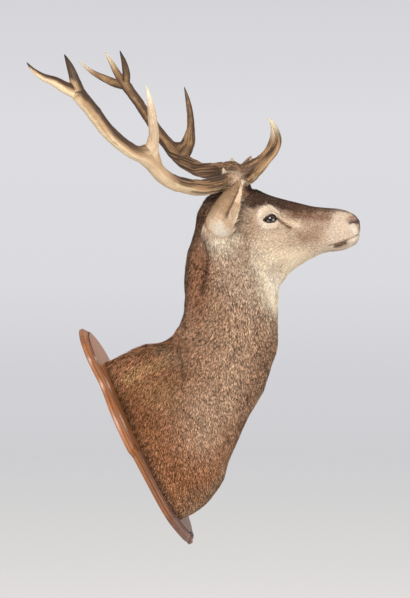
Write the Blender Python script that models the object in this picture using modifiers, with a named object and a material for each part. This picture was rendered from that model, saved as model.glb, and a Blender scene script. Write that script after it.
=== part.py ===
"""Red deer stag: head, neck and shoulders mounted on a wooden shield board.

The board hangs upright on a wall.  Its back lies in the plane Y = 0, the stag
looks along -Y, +Z is up and +X is the stag's left side.  Metres throughout.
A place on the stag's middle plane is written (forward, height): its distance
out from the wall and its height above the middle of the board.
"""
import math

import bmesh
import bpy
import numpy as np
from mathutils import Vector

# ---- driving dimensions ------------------------------------------------------------
GAP = 0.0003                    # air between pieces that touch
BOARD_THICK = 0.023
SIDES = 24                      # points round the neck and trunk
HEAD_SIDES = 32                 # points round the head
EYE_RADIUS = 0.0205
EYE_PLACE = (0.0620, 0.640, 0.389)      # sideways, forward, height
EAR_WALL = 0.0035
EAR_ROOT = (0.083, 0.450, 0.437)        # the back of the ear where it leaves the head
EAR_TIPS = {"right": (0.150, 0.619, 0.523), "left": (0.156, 0.662, 0.578)}
EAR_OPENS = (-0.45, 0.75, -0.47)        # which way the cup of the ear faces
TUBE_FACETS = 3                 # bevel resolution of an antler: 10 sides
TUBE_STEP = 0.030

# ---- shield board: half its edge, (sideways, height), from the top to the foot ------
# a row of one point is a straight line to it; of two, a bend that it pulls to
BOARD_TOP = (0.0, 0.356)
BOARD_EDGE = (
    ((0.068, 0.347), (0.103, 0.288)),
    ((0.120, 0.262), (0.116, 0.215)),
    ((0.118, 0.178), (0.152, 0.140)),
    ((0.184, 0.100), (0.194, 0.045)),
    ((0.200, 0.010),),
    ((0.200, -0.006),),
    ((0.174, -0.028),),
    ((0.166, -0.155),),
    ((0.160, -0.228), (0.118, -0.264)),
    ((0.090, -0.292), (0.058, -0.316)),
    ((0.040, -0.328), (0.028, -0.329)),
    ((0.022, -0.343), (0.000, -0.344)),
)
# the moulded rim: how far in from the edge, how far out from the wall
MOULDING = ((0.0, 0.0), (0.0, 0.0095), (0.0035, 0.0130), (0.0065, 0.0138), (0.0150, 0.0190), (0.0200, 0.0228),
            (0.0210, BOARD_THICK))

# ---- ribs: the plan of the body ----------------------------------------------------
# name: (back line), (throat line), half width, height of the widest place as a part
# of the rib, and how square the rib is above and below it (2 is an ellipse)
RIBS = {
    "board":          ((0.0233, 0.241), (0.0233, -0.263), 0.148, 0.30, 1.45, 2.9),
    "shoulder_back":  ((0.082, 0.240), (0.069, -0.264), 0.158, 0.32, 1.45, 2.7),
    "shoulder":       ((0.147, 0.231), (0.122, -0.252), 0.166, 0.37, 1.50, 2.4),
    "brisket":        ((0.195, 0.220), (0.179, -0.221), 0.165, 0.42, 1.55, 2.2),
    "withers":        ((0.231, 0.224), (0.212, -0.184), 0.158, 0.46, 1.65, 2.1),
    "neck_root":      ((0.257, 0.238), (0.269, -0.134), 0.149, 0.49, 1.75, 2.1),
    "neck_low":       ((0.286, 0.262), (0.332, -0.083), 0.138, 0.50, 1.80, 2.0),
    "neck_quarter":   ((0.311, 0.294), (0.391, -0.038), 0.127, 0.50, 1.85, 2.0),
    "neck_middle":    ((0.347, 0.354), (0.473, 0.038), 0.114, 0.50, 1.90, 2.0),
    "neck_upper":     ((0.383, 0.406), (0.527, 0.124), 0.103, 0.50, 1.90, 2.0),
    "nape":           ((0.418, 0.447), (0.550, 0.168), 0.095, 0.51, 1.95, 2.0),
    "throat":         ((0.470, 0.508), (0.574, 0.205), 0.088, 0.54, 2.00, 1.95),
    "poll":           ((0.517, 0.528), (0.605, 0.221), 0.083, 0.58, 2.10, 1.9),
    "pedicles":       ((0.567, 0.527), (0.629, 0.229), 0.081, 0.60, 2.20, 1.9),
    "brow":           ((0.607, 0.506), (0.652, 0.233), 0.080, 0.60, 2.30, 1.9),
    "eyes":           ((0.639, 0.482), (0.675, 0.236), 0.077, 0.60, 2.30, 1.9),
    "cheek":          ((0.669, 0.449), (0.697, 0.236), 0.068, 0.58, 2.20, 1.9),
    "mid_face":       ((0.700, 0.420), (0.720, 0.236), 0.057, 0.56, 2.10, 2.0),
    "bridge":         ((0.729, 0.395), (0.742, 0.231), 0.048, 0.54, 2.10, 2.1),
    "muzzle_back":    ((0.762, 0.367), (0.765, 0.222), 0.042, 0.52, 2.10, 2.2),
    "muzzle":         ((0.797, 0.344), (0.788, 0.216), 0.040, 0.52, 2.10, 2.3),
    "nostrils":       ((0.824, 0.327), (0.807, 0.216), 0.039, 0.55, 2.20, 2.3),
    "nose":           ((0.845, 0.308), (0.824, 0.219), 0.036, 0.57, 2.30, 2.2),
    "lip":            ((0.858, 0.290), (0.839, 0.230), 0.028, 0.57, 2.30, 2.2),
    "tip":            ((0.863, 0.272), (0.852, 0.246), 0.013, 0.55, 2.20, 2.2),
}
# node: its first and last rib, and the length between two rings of faces
FLESH = {
    "trunk": ("board", "withers", 0.026),
    "neck_lower": ("withers", "neck_middle", 0.026),
    "neck_upper": ("neck_middle", "poll", 0.026),
    "head": ("poll", "tip", 0.0122),
}
# swellings and hollows of the flesh: (sideways, forward, height), reach, rise
SWELLINGS = {
    "shoulder_blade": ((0.160, 0.127, 0.020), 0.110, 0.010),
    "shoulder_point": ((0.130, 0.242, -0.120), 0.075, 0.014),
    "brow_ridge": ((0.070, 0.635, 0.424), 0.024, 0.009),
    "eye_socket": ((0.078, 0.642, 0.386), 0.020, -0.004),
    "cheekbone": ((0.072, 0.644, 0.345), 0.030, 0.004),
    "cheek_muscle": ((0.075, 0.607, 0.295), 0.042, 0.004),
    "tear_pit": ((0.054, 0.692, 0.352), 0.018, -0.003),
    "nostril_wing": ((0.034, 0.843, 0.281), 0.016, 0.003),
    "upper_lip": ((0.038, 0.807, 0.255), 0.024, 0.002),
}
JAW_LINE = ((0.920, 0.2355), (0.839, 0.2375), (0.797, 0.2435), (0.749, 0.2475), (0.697, 0.263),
            (0.647, 0.285), (0.607, 0.262), (0.590, 0.236), (0.577, 0.140), (0.920, 0.140))

# ---- antlers: (sideways, forward, height, radius) along each length ----------------
RIGHT_ANTLER = {
    "base": ((0.040, 0.598, 0.484, 0.0215), (0.046, 0.601, 0.506, 0.0230), (0.051, 0.602, 0.523, 0.0320),
             (0.056, 0.597, 0.532, 0.0290), (0.077, 0.578, 0.540, 0.0240), (0.108, 0.543, 0.547, 0.0222),
             (0.145, 0.511, 0.558, 0.0214), (0.183, 0.484, 0.577, 0.0210), (0.225, 0.458, 0.603, 0.0208),
             (0.258, 0.443, 0.633, 0.0208), (0.280, 0.437, 0.665, 0.0206)),
    "upper": ((0.280, 0.437, 0.665, 0.0206), (0.300, 0.427, 0.694, 0.0198), (0.325, 0.407, 0.724, 0.0193),
              (0.350, 0.390, 0.760, 0.0190), (0.370, 0.378, 0.799, 0.0190), (0.395, 0.371, 0.854, 0.0194),
              (0.415, 0.359, 0.916, 0.0200)),
    "brow": ((0.052, 0.598, 0.531, 0.0160), (0.074, 0.634, 0.521, 0.0172), (0.100, 0.671, 0.528, 0.0150),
             (0.122, 0.711, 0.543, 0.0126), (0.132, 0.740, 0.555, 0.0112), (0.138, 0.760, 0.571, 0.0095),
             (0.140, 0.770, 0.598, 0.0075), (0.137, 0.770, 0.627, 0.0050), (0.134, 0.764, 0.645, 0.0015)),
    "stub": ((0.064, 0.584, 0.538, 0.0120), (0.066, 0.584, 0.562, 0.0090), (0.068, 0.588, 0.580, 0.0015)),
    "trez": ((0.276, 0.441, 0.662, 0.0185), (0.292, 0.456, 0.702, 0.0155), (0.307, 0.477, 0.733, 0.0138),
             (0.320, 0.494, 0.772, 0.0122), (0.326, 0.511, 0.819, 0.0080), (0.321, 0.521, 0.861, 0.0015)),
    "crown_front": ((0.415, 0.359, 0.916, 0.0200), (0.416, 0.368, 0.953, 0.0140), (0.406, 0.372, 0.995, 0.0085),
                    (0.396, 0.372, 1.027, 0.0015)),
    "crown_rear": ((0.414, 0.360, 0.914, 0.0160), (0.430, 0.336, 0.947, 0.0155), (0.438, 0.321, 0.971, 0.0130),
                   (0.442, 0.300, 0.995, 0.0095), (0.440, 0.285, 1.023, 0.0060), (0.432, 0.278, 1.050, 0.0015)),
}
LEFT_ANTLER = {
    "base": ((0.040, 0.601, 0.492, 0.0215), (0.046, 0.606, 0.529, 0.0230), (0.051, 0.606, 0.548, 0.0320),
             (0.056, 0.601, 0.560, 0.0290), (0.079, 0.580, 0.574, 0.0240), (0.109, 0.547, 0.590, 0.0222),
             (0.138, 0.517, 0.607, 0.0214), (0.167, 0.496, 0.630, 0.0210), (0.197, 0.477, 0.657, 0.0206),
             (0.222, 0.463, 0.687, 0.0204), (0.240, 0.457, 0.714, 0.0198)),
    "upper": ((0.240, 0.457, 0.714, 0.0198), (0.265, 0.446, 0.752, 0.0180), (0.295, 0.436, 0.801, 0.0168),
              (0.320, 0.429, 0.846, 0.0158), (0.345, 0.421, 0.896, 0.0152), (0.362, 0.413, 0.938, 0.0160)),
    "brow": ((0.052, 0.604, 0.553, 0.0160), (0.069, 0.650, 0.550, 0.0165), (0.090, 0.687, 0.555, 0.0145),
             (0.106, 0.721, 0.570, 0.0120), (0.115, 0.745, 0.594, 0.0100), (0.118, 0.757, 0.618, 0.0070),
             (0.117, 0.760, 0.644, 0.0015)),
    "stub": ((0.057, 0.602, 0.563, 0.0110), (0.058, 0.610, 0.583, 0.0080), (0.062, 0.616, 0.600, 0.0015)),
    "trez": ((0.203, 0.476, 0.667, 0.0185), (0.211, 0.498, 0.682, 0.0160), (0.224, 0.516, 0.700, 0.0142),
             (0.242, 0.534, 0.733, 0.0125), (0.257, 0.551, 0.772, 0.0105), (0.268, 0.564, 0.815, 0.0075),
             (0.272, 0.574, 0.859, 0.0015)),
    "crown_middle": ((0.362, 0.413, 0.938, 0.0160), (0.370, 0.404, 0.988, 0.0118), (0.368, 0.402, 1.038, 0.0072),
                     (0.363, 0.399, 1.074, 0.0015)),
    "crown_rear": ((0.364, 0.408, 0.949, 0.0110), (0.377, 0.385, 0.973, 0.0130), (0.388, 0.359, 1.004, 0.0110),
                   (0.395, 0.332, 1.043, 0.0070), (0.395, 0.312, 1.089, 0.0015)),
    "crown_front": ((0.362, 0.413, 0.952, 0.0100), (0.352, 0.427, 0.977, 0.0118), (0.338, 0.440, 1.014, 0.0085),
                    (0.328, 0.446, 1.052, 0.0015)),
}

# ---- colours: red, green, blue and roughness ----------------------------------------
COLOURS = {
    "board": (0.38, 0.13, 0.035, 0.25),
    "coat": (0.30, 0.20, 0.13, 0.90),
    "ear": (0.45, 0.33, 0.22, 0.90),
    "antler": (0.32, 0.19, 0.10, 0.55),
    "eye": (0.012, 0.007, 0.005, 0.05),
}


# ---- small helpers --------------------------------------------------------------------
def clear_scene():
    for thing in list(bpy.data.objects):
        bpy.data.objects.remove(thing, do_unlink=True)


def new_collection(name):
    box = bpy.data.collections.new(name)
    bpy.context.scene.collection.children.link(box)
    return box


def finish_named(name):
    material = bpy.data.materials.get(name)
    if material is None:
        red, green, blue, rough = COLOURS[name]
        material = bpy.data.materials.new(name)
        material.use_nodes = True
        shader = material.node_tree.nodes["Principled BSDF"]
        shader.inputs["Base Color"].default_value = (red, green, blue, 1.0)
        shader.inputs["Roughness"].default_value = rough
    return material


def world(sideways, forward, height):
    return Vector((sideways, -forward, height))


def mesh_object(name, vertices, faces, collection, finish=None):
    mesh = bpy.data.meshes.new(name)
    mesh.from_pydata([tuple(float(c) for c in v) for v in vertices], [], faces)
    piece = bpy.data.objects.new(name, mesh)
    collection.objects.link(piece)
    outward(mesh)
    if finish:
        mesh.materials.append(finish_named(finish))
    mesh.shade_smooth()
    mesh.set_sharp_from_angle(angle=math.radians(50))
    return piece


def outward(mesh):
    work = bmesh.new()
    work.from_mesh(mesh)
    bmesh.ops.recalc_face_normals(work, faces=work.faces)
    work.to_mesh(mesh)
    work.free()


def as_cutter(piece):
    piece.hide_render = True
    piece.display_type = "WIRE"
    return piece


def subtract(piece, cutter, operation="DIFFERENCE"):
    cut = piece.modifiers.new("cut_by_" + cutter.name, "BOOLEAN")
    cut.operation = operation
    cut.solver = "EXACT"
    cut.object = cutter


def smooth_curve(points, count):
    """A Catmull-Rom curve through the points, read at `count` even steps of their spacing."""
    known = np.asarray(points, dtype=float)
    along = np.concatenate([[0.0], np.cumsum(np.linalg.norm(np.diff(known[:, :3], axis=0), axis=1))])
    return read_between(along, known, np.linspace(0.0, along[-1], count))


def read_between(along, known, wanted):
    """Cubic values between known rows: each slope is the mean of its two neighbours' slopes."""
    step = np.diff(along)
    rise = np.diff(known, axis=0) / step[:, None]
    slope = np.vstack([rise[:1], (rise[1:] * step[:-1, None] + rise[:-1] * step[1:, None])
                       / (step[1:] + step[:-1])[:, None], rise[-1:]])
    cell = np.clip(np.searchsorted(along, wanted, side="right") - 1, 0, len(step) - 1)
    t = ((wanted - along[cell]) / step[cell])[:, None]
    width = step[cell][:, None]
    start, end = known[cell], known[cell + 1]
    return ((2 * t**3 - 3 * t**2 + 1) * start + (t**3 - 2 * t**2 + t) * width * slope[cell]
            + (3 * t**2 - 2 * t**3) * end + (t**3 - t**2) * width * slope[cell + 1])


# ---- flesh ----------------------------------------------------------------------------
def rib_table():
    """Every rib as one row of numbers, and its distance along the middle of the body."""
    rows = np.array([[*back, *throat, half, widest, top, under]
                     for back, throat, half, widest, top, under in RIBS.values()])
    middle = (rows[:, 0:2] + rows[:, 2:4]) / 2
    along = np.concatenate([[0.0], np.cumsum(np.linalg.norm(np.diff(middle, axis=0), axis=1))])
    return along, rows


def rib_rings(first, last, spacing, sides, grow=0.0):
    """Closed rings of points from one named rib to another; `grow` swells them evenly."""
    along, rows = rib_table()
    names = list(RIBS)
    start, end = along[names.index(first)], along[names.index(last)]
    count = max(2, round((end - start) / spacing)) + 1
    plan = read_between(along, rows, np.linspace(start, end, count))
    angle = np.linspace(0.0, 2 * math.pi, sides, endpoint=False)[None, :]
    across, up = np.cos(angle), np.sin(angle)
    back, throat = plan[:, 0:2], plan[:, 2:4]
    length = np.linalg.norm(back - throat, axis=1, keepdims=True)
    rise = (back - throat) / length
    widest = throat + rise * length * plan[:, 5:6]
    power = np.where(up >= 0, plan[:, 6:7], plan[:, 7:8])
    reach = np.where(up >= 0, length * (1 - plan[:, 5:6]), length * plan[:, 5:6]) + grow
    sideways = (plan[:, 4:5] + grow) * np.sign(across) * np.abs(across) ** (2 / power)
    lift = reach * np.sign(up) * np.abs(up) ** (2 / power)
    forward = widest[:, 0:1] + rise[:, 0:1] * lift
    height = widest[:, 1:2] + rise[:, 1:2] * lift
    rings = np.stack([sideways, -forward, height], axis=2)
    return swell(rings, np.stack([widest[:, 0], widest[:, 1]], axis=1))


def swell(rings, centres):
    """Move the points out from each rib's centre by the sum of rise * exp(-(distance / reach)^2)."""
    centre = np.stack([np.zeros(len(centres)), -centres[:, 0], centres[:, 1]], axis=1)[:, None, :]
    outward_way = rings - centre
    outward_way /= np.maximum(np.linalg.norm(outward_way, axis=2, keepdims=True), 1e-9)
    total = np.zeros(rings.shape[:2])
    for (sideways, forward, height), reach, rise in SWELLINGS.values():
        for side in (-1, 1):
            place = np.array([side * sideways, -forward, height])
            total += rise * np.exp(-(np.linalg.norm(rings - place, axis=2) / reach) ** 2)
    return rings + outward_way * total[:, :, None]


def loft(name, rings, collection, finish=None):
    """Skin over closed rings, with a flat face over the first and the last."""
    count, sides = rings.shape[:2]
    faces = []
    for row in range(count - 1):
        for side in range(sides):
            after = (side + 1) % sides
            faces.append((row * sides + side, row * sides + after,
                          (row + 1) * sides + after, (row + 1) * sides + side))
    faces.append(tuple(reversed(range(sides))))
    faces.append(tuple(range((count - 1) * sides, count * sides)))
    return mesh_object(name, rings.reshape(-1, 3), faces, collection, finish)


def move_ends(rings, inwards_by):
    """Move both end rings along the body, square to their own planes."""
    for end, inner in ((0, 1), (-1, -2)):
        one, two = rings[end][0] - rings[end].mean(axis=0), rings[end][len(rings[end]) // 4]
        normal = np.cross(one, two - rings[end].mean(axis=0))
        normal /= np.linalg.norm(normal)
        inwards = rings[inner].mean(axis=0) - rings[end].mean(axis=0)
        rings[end] += normal * math.copysign(1.0, normal @ inwards) * inwards_by
    return rings


def flesh_rings(name, grow=0.0):
    first, last, spacing = FLESH[name]
    sides = HEAD_SIDES if name == "head" else SIDES
    return rib_rings(first, last, spacing, sides, grow)


def make_flesh(parts):
    for name in FLESH:
        loft(name, move_ends(flesh_rings(name), GAP / 2), parts, "coat")


def flesh_to_clear(cutters):
    """The head and nape one gap larger all round, for what grows out of them."""
    return [as_cutter(loft(name + "_clearance", move_ends(flesh_rings(name, grow=2 * GAP), -0.001), cutters))
            for name in ("head", "neck_upper")]


def jaw_block(name, lift, cutters):
    """A thick plate under the line of the mouth and the lower cheek."""
    half = 0.15
    outline = [(forward, height + lift) for forward, height in JAW_LINE]
    vertices = [(side, -f, z) for side in (-half, half) for f, z in outline]
    count = len(outline)
    faces = [tuple(range(count)), tuple(range(2 * count - 1, count - 1, -1))]
    faces += [(i, (i + 1) % count, count + (i + 1) % count, count + i) for i in range(count)]
    return as_cutter(mesh_object(name, vertices, faces, cutters))


def part_jaw(parts, cutters):
    head = bpy.data.objects["head"]
    jaw = bpy.data.objects.new("jaw", head.data.copy())
    parts.objects.link(jaw)
    subtract(jaw, jaw_block("jaw_shape", 0.0, cutters), "INTERSECT")
    subtract(head, jaw_block("jaw_clearance", GAP * 1.5, cutters))


# ---- eyes and ears ----------------------------------------------------------------------
def ball(name, radius, side, collection, segments=16, rings=9):
    sideways, forward, height = EYE_PLACE
    bpy.ops.mesh.primitive_uv_sphere_add(segments=segments, ring_count=rings, radius=radius,
                                         location=world(side * sideways, forward, height),
                                         rotation=(0.0, math.pi / 2, 0.0))
    piece = bpy.context.object
    piece.name = name
    for holder in list(piece.users_collection):
        holder.objects.unlink(piece)
    collection.objects.link(piece)
    piece.data.shade_smooth()
    return piece


def make_eyes(parts, cutters):
    for label, side in (("right", -1), ("left", 1)):
        eye = ball("eye_" + label, EYE_RADIUS, side, parts)
        eye.data.materials.append(finish_named("eye"))
        socket = ball("socket_" + label, EYE_RADIUS + 2 * GAP, side, cutters)
        subtract(bpy.data.objects["head"], as_cutter(socket))


def ear_surface(label, side, rows=12, columns=9):
    """The back of the ear runs from its root to its tip; each row is an arc that bends round the cup.

    Its radius grows from the root to the middle and dies away at the tip, and the arc
    closes to a tube at the root and opens out towards the tip.
    """
    root, tip = (np.array(world(side * x, f, z)) for x, f, z in (EAR_ROOT, EAR_TIPS[label]))
    length = np.linalg.norm(tip - root)
    aim = (tip - root) / length
    cup = np.array(world(side * EAR_OPENS[0], EAR_OPENS[1], EAR_OPENS[2]))
    cup -= aim * (cup @ aim)
    cup /= np.linalg.norm(cup)
    wide = np.cross(aim, cup)
    t = np.linspace(0.0, 1.0, rows)[:, None]
    turn = np.linspace(-1.0, 1.0, columns)[None, :]
    radius = np.interp(t, (0, 0.12, 0.3, 0.5, 0.7, 0.86, 0.95, 1.0),
                       (0.036, 0.041, 0.046, 0.047, 0.043, 0.031, 0.017, 0.003))
    spread = np.radians(np.interp(t, (0, 0.2, 0.4, 0.7, 1.0), (155, 125, 92, 75, 62)))
    bend = 0.016 * np.sin(math.pi * t)
    angle = turn * spread
    place = (root + aim * length * t[..., None]
             - cup * bend[..., None]
             + cup * (radius * (1 - np.cos(angle)))[..., None]
             + wide * (radius * np.sin(angle))[..., None])
    faces = [(r * columns + c, r * columns + c + 1, (r + 1) * columns + c + 1, (r + 1) * columns + c)
             for r in range(rows - 1) for c in range(columns - 1)]
    return place.reshape(-1, 3), faces


def make_ears(parts, clearance):
    for label, side in (("right", -1), ("left", 1)):
        vertices, faces = ear_surface(label, side)
        ear = mesh_object("ear_" + label, vertices, faces, parts, "ear")
        wall = ear.modifiers.new("wall", "SOLIDIFY")
        wall.thickness = EAR_WALL
        wall.offset = 0.0
        wall.use_even_offset = False
        for flesh in clearance:
            subtract(ear, flesh)


# ---- antlers ------------------------------------------------------------------------------
def antler_tube(name, points, side, collection, grow=0.0):
    """A tapering tube through the points, as a mesh with welded ends; `grow` swells and lengthens it."""
    count = max(4, round(sum(np.linalg.norm(np.diff(np.array(points)[:, :3], axis=0), axis=1)) / TUBE_STEP) + 2)
    rows = smooth_curve(points, count)
    along = rows[-1, :3] - rows[-2, :3]
    rows[-1, :3] += along / np.linalg.norm(along) * grow
    curve = bpy.data.curves.new(name, "CURVE")
    curve.dimensions = "3D"
    curve.bevel_depth = 1.0
    curve.bevel_resolution = TUBE_FACETS
    curve.use_fill_caps = True
    spline = curve.splines.new("POLY")
    spline.points.add(len(rows) - 1)
    for point, (sideways, forward, height, radius) in zip(spline.points, rows):
        point.co = (*world(side * sideways, forward, height), 1.0)
        point.radius = radius + grow
    holder = bpy.data.objects.new(name + "_curve", curve)
    collection.objects.link(holder)
    return curve_to_mesh(holder, name, collection)


def curve_to_mesh(holder, name, collection):
    bpy.context.view_layer.update()
    evaluated = holder.evaluated_get(bpy.context.evaluated_depsgraph_get())
    mesh = bpy.data.meshes.new_from_object(evaluated)
    mesh.name = name
    work = bmesh.new()
    work.from_mesh(mesh)
    bmesh.ops.remove_doubles(work, verts=work.verts, dist=0.00005)
    bmesh.ops.recalc_face_normals(work, faces=work.faces)
    work.to_mesh(mesh)
    work.free()
    piece = bpy.data.objects.new(name, mesh)
    piece.matrix_world = holder.matrix_world
    collection.objects.link(piece)
    bpy.data.objects.remove(holder, do_unlink=True)
    mesh.shade_smooth()
    mesh.set_sharp_from_angle(angle=math.radians(50))
    return piece


def make_antler(label, side, lengths, parts, cutters, clearance):
    """Each length is cut back from the ones before it in the table that it grows from."""
    grown = {}
    for name, points in lengths.items():
        full = f"antler_{label}_{name}"
        piece = antler_tube(full, points, side, parts)
        piece.data.materials.append(finish_named("antler"))
        for larger in grown.values():
            if near(piece, larger):
                subtract(piece, larger)
        if name in ("base", "brow"):
            subtract(piece, clearance[0])
        grown[name] = as_cutter(antler_tube(full + "_clearance", points, side, cutters, grow=GAP * 2.0))


def near(one, two):
    """Whether the boxes of two pieces meet."""
    low_one, high_one = box_of(one)
    low_two, high_two = box_of(two)
    return bool(np.all(low_one <= high_two) and np.all(low_two <= high_one))


def box_of(piece):
    corners = np.array([piece.matrix_world @ Vector(c) for c in piece.bound_box])
    return corners.min(axis=0), corners.max(axis=0)


# ---- shield board ---------------------------------------------------------------------------
def board_outline(steps=5):
    """Half the edge from the top to the foot, a bend being a quadratic Bezier curve, then its mirror."""
    half = [np.array(BOARD_TOP)]
    for *pull, end in BOARD_EDGE:
        start, end = half[-1], np.array(end)
        if not pull:
            half.append(end)
            continue
        for t in np.linspace(0.0, 1.0, steps + 1)[1:]:
            half.append((1 - t) ** 2 * start + 2 * t * (1 - t) * np.array(pull[0]) + t**2 * end)
    return np.array(half + [point * (-1, 1) for point in reversed(half[1:-1])])


def inset(outline, distance):
    """Each corner moved in along the mean of its two edges' normals."""
    before, after = np.roll(outline, 1, axis=0), np.roll(outline, -1, axis=0)
    along = after - before
    along /= np.linalg.norm(along, axis=1, keepdims=True)
    return outline + np.stack([along[:, 1], -along[:, 0]], axis=1) * distance


def make_board(parts):
    """Rings of the outline, inset and brought forward step by step as the moulded edge."""
    outline = board_outline()
    rings = np.array([[(x, -forward, z) for x, z in inset(outline, distance)] for distance, forward in MOULDING])
    board = loft("board", rings, parts, "board")
    board.data.set_sharp_from_angle(angle=math.radians(25))


def main():
    clear_scene()
    parts = new_collection("stag_head_mount")
    cutters = new_collection("cutters")
    make_board(parts)
    make_flesh(parts)
    clearance = flesh_to_clear(cutters)
    make_eyes(parts, cutters)
    part_jaw(parts, cutters)
    make_ears(parts, clearance)
    make_antler("right", -1, RIGHT_ANTLER, parts, cutters, clearance)
    make_antler("left", 1, LEFT_ANTLER, parts, cutters, clearance)


main()
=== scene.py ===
# %% [markdown]
# # A red deer stag's shoulder mount
# A taxidermist stretches the tanned hide over a firm form of neck and head, sets glass eyes
# deep behind the lids, and screws the form to a varnished shield. The antlers are the real
# ones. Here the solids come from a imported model; this script dresses them: one skin in place
# of all the nodes of flesh, a coat of small tufts over it, ears, eyes, antlers and moulding.

# %% The frame
import math

import bpy
import numpy as np
from mathutils import Matrix, Vector


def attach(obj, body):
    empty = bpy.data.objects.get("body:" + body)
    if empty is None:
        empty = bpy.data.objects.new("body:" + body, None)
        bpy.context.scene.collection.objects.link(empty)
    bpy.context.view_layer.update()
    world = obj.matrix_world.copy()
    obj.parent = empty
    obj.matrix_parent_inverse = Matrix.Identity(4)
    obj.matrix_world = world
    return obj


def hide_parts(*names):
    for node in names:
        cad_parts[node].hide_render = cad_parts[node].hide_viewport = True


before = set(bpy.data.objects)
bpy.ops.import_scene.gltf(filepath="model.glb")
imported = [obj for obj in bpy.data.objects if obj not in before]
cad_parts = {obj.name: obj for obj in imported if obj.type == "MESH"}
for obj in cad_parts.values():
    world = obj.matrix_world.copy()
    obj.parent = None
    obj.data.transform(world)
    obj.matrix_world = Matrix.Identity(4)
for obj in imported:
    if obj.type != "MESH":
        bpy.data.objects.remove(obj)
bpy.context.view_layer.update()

# %% [markdown]
# ## Small helpers
# Every shape below is worked out as whole numpy arrays. These functions blend numbers, read a
# smooth curve between known rows, and give noise that is the same on each run. A place on
# the animal is written (sideways, forward, height): forward is the distance out from the
# wall, so y is minus forward.

# %% Blends and curves
def smooth(value, low, high):
    """0 below low, 1 above high, and between them t^2 (3 - 2t) with t the part of the way."""
    t = np.clip((value - low) / (high - low), 0.0, 1.0)
    return t * t * (3.0 - 2.0 * t)


def blend(start, end, amount):
    """start + (end - start) * amount, for rows of vectors and one amount a row."""
    return start + (end - start) * np.asarray(amount)[..., None]


def unit(vectors):
    """Each vector divided by its own length."""
    return vectors / np.maximum(np.linalg.norm(vectors, axis=-1, keepdims=True), 1e-12)


def tone(red, green, blue):
    """A colour seen on a screen, 0 to 255, as linear light: ((c + 0.055) / 1.055) ^ 2.4."""
    c = np.array([red, green, blue]) / 255.0
    return np.where(c <= 0.04045, c / 12.92, ((c + 0.055) / 1.055) ** 2.4)


def read_between(along, known, wanted):
    """Cubic values between known rows: each slope is the mean of its two neighbours' slopes."""
    step = np.diff(along)
    rise = np.diff(known, axis=0) / step[:, None]
    slope = np.vstack([rise[:1], (rise[1:] * step[:-1, None] + rise[:-1] * step[1:, None])
                       / (step[1:] + step[:-1])[:, None], rise[-1:]])
    cell = np.clip(np.searchsorted(along, wanted, side="right") - 1, 0, len(step) - 1)
    t = ((wanted - along[cell]) / step[cell])[:, None]
    width = step[cell][:, None]
    start, end = known[cell], known[cell + 1]
    return ((2 * t**3 - 3 * t**2 + 1) * start + (t**3 - 2 * t**2 + t) * width * slope[cell]
            + (3 * t**2 - 2 * t**3) * end + (t**3 - t**2) * width * slope[cell + 1])


def noise(points, size, seed):
    """Random values at the corners of cells of the size, blended between by t^2 (3 - 2t)."""
    place = points / size
    cell = np.floor(place).astype(np.int64)
    t = place - cell
    t = t * t * (3.0 - 2.0 * t)
    total = np.zeros(points.shape[:-1])
    for corner in range(8):
        step = np.array([corner & 1, corner >> 1 & 1, corner >> 2 & 1])
        c = cell + step
        mixed = c[..., 0] * 73856093 ^ c[..., 1] * 19349663 ^ c[..., 2] * 83492791 ^ seed * 40503
        mixed = mixed & 0xFFFFFFFF
        mixed = (mixed ^ (mixed >> 15)) * 2246822519 & 0xFFFFFFFF
        mixed = (mixed ^ (mixed >> 13)) * 3266489917 & 0xFFFFFFFF
        mixed = mixed ^ (mixed >> 16)
        total += (mixed & 0xFFFF) / 65535.0 * np.prod(np.where(step, t, 1.0 - t), axis=-1)
    return total


def hill(distance, reach):
    """exp(-(distance / reach)^2): 1 at the middle and nearly 0 at twice the reach."""
    return np.exp(-(distance / reach) ** 2)


def near(points, line, reach):
    """The hill over each point's distance from a bent line: 1 on the line and 0 far from it."""
    best = np.full(points.shape[:-1], 1e9)
    for start, end in zip(line[:-1], line[1:]):
        length = np.linalg.norm(end - start)
        way = (end - start) / length
        run = np.clip((points - start) @ way, 0.0, length)
        best = np.minimum(best, np.linalg.norm(points - start - run[..., None] * way, axis=-1))
    return hill(best, reach)


def circle(count):
    """Even angles once round."""
    return np.linspace(0, 2 * math.pi, count, endpoint=False)


def fold(points):
    """(x, y, z) as (sideways, forward, height), with the right side brought over to the left."""
    return np.stack([np.abs(points[..., 0]), -points[..., 1], points[..., 2]], axis=-1)


def unfold(places, side):
    """(x, y, z) of folded places, on the animal's left for a side of 1 and its right for -1."""
    return np.stack([places[..., 0] * side, -places[..., 1], places[..., 2]], axis=-1)


def metres(table):
    """A table of rows of numbers or places in millimetres, as arrays in metres."""
    return {name: [np.array(value) / 1000 for value in row] for name, row in table.items()}


BOTH_SIDES = (("right", -1), ("left", 1))

# %% Meshes from arrays
def new_object(name, data):
    """An object at the origin, linked to the scene."""
    made = bpy.data.objects.new(name, data)
    bpy.context.scene.collection.objects.link(made)
    return made


def colour_points(mesh, colours):
    """One linear colour for each vertex, kept as the "markings" that materials read."""
    rgba = np.ones((len(colours), 4), dtype=np.float32)
    rgba[:, :3] = np.clip(colours, 0.0, 1.0)
    mesh.attributes.new("markings", "FLOAT_COLOR", "POINT").data.foreach_set("color", rgba.ravel())


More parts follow.
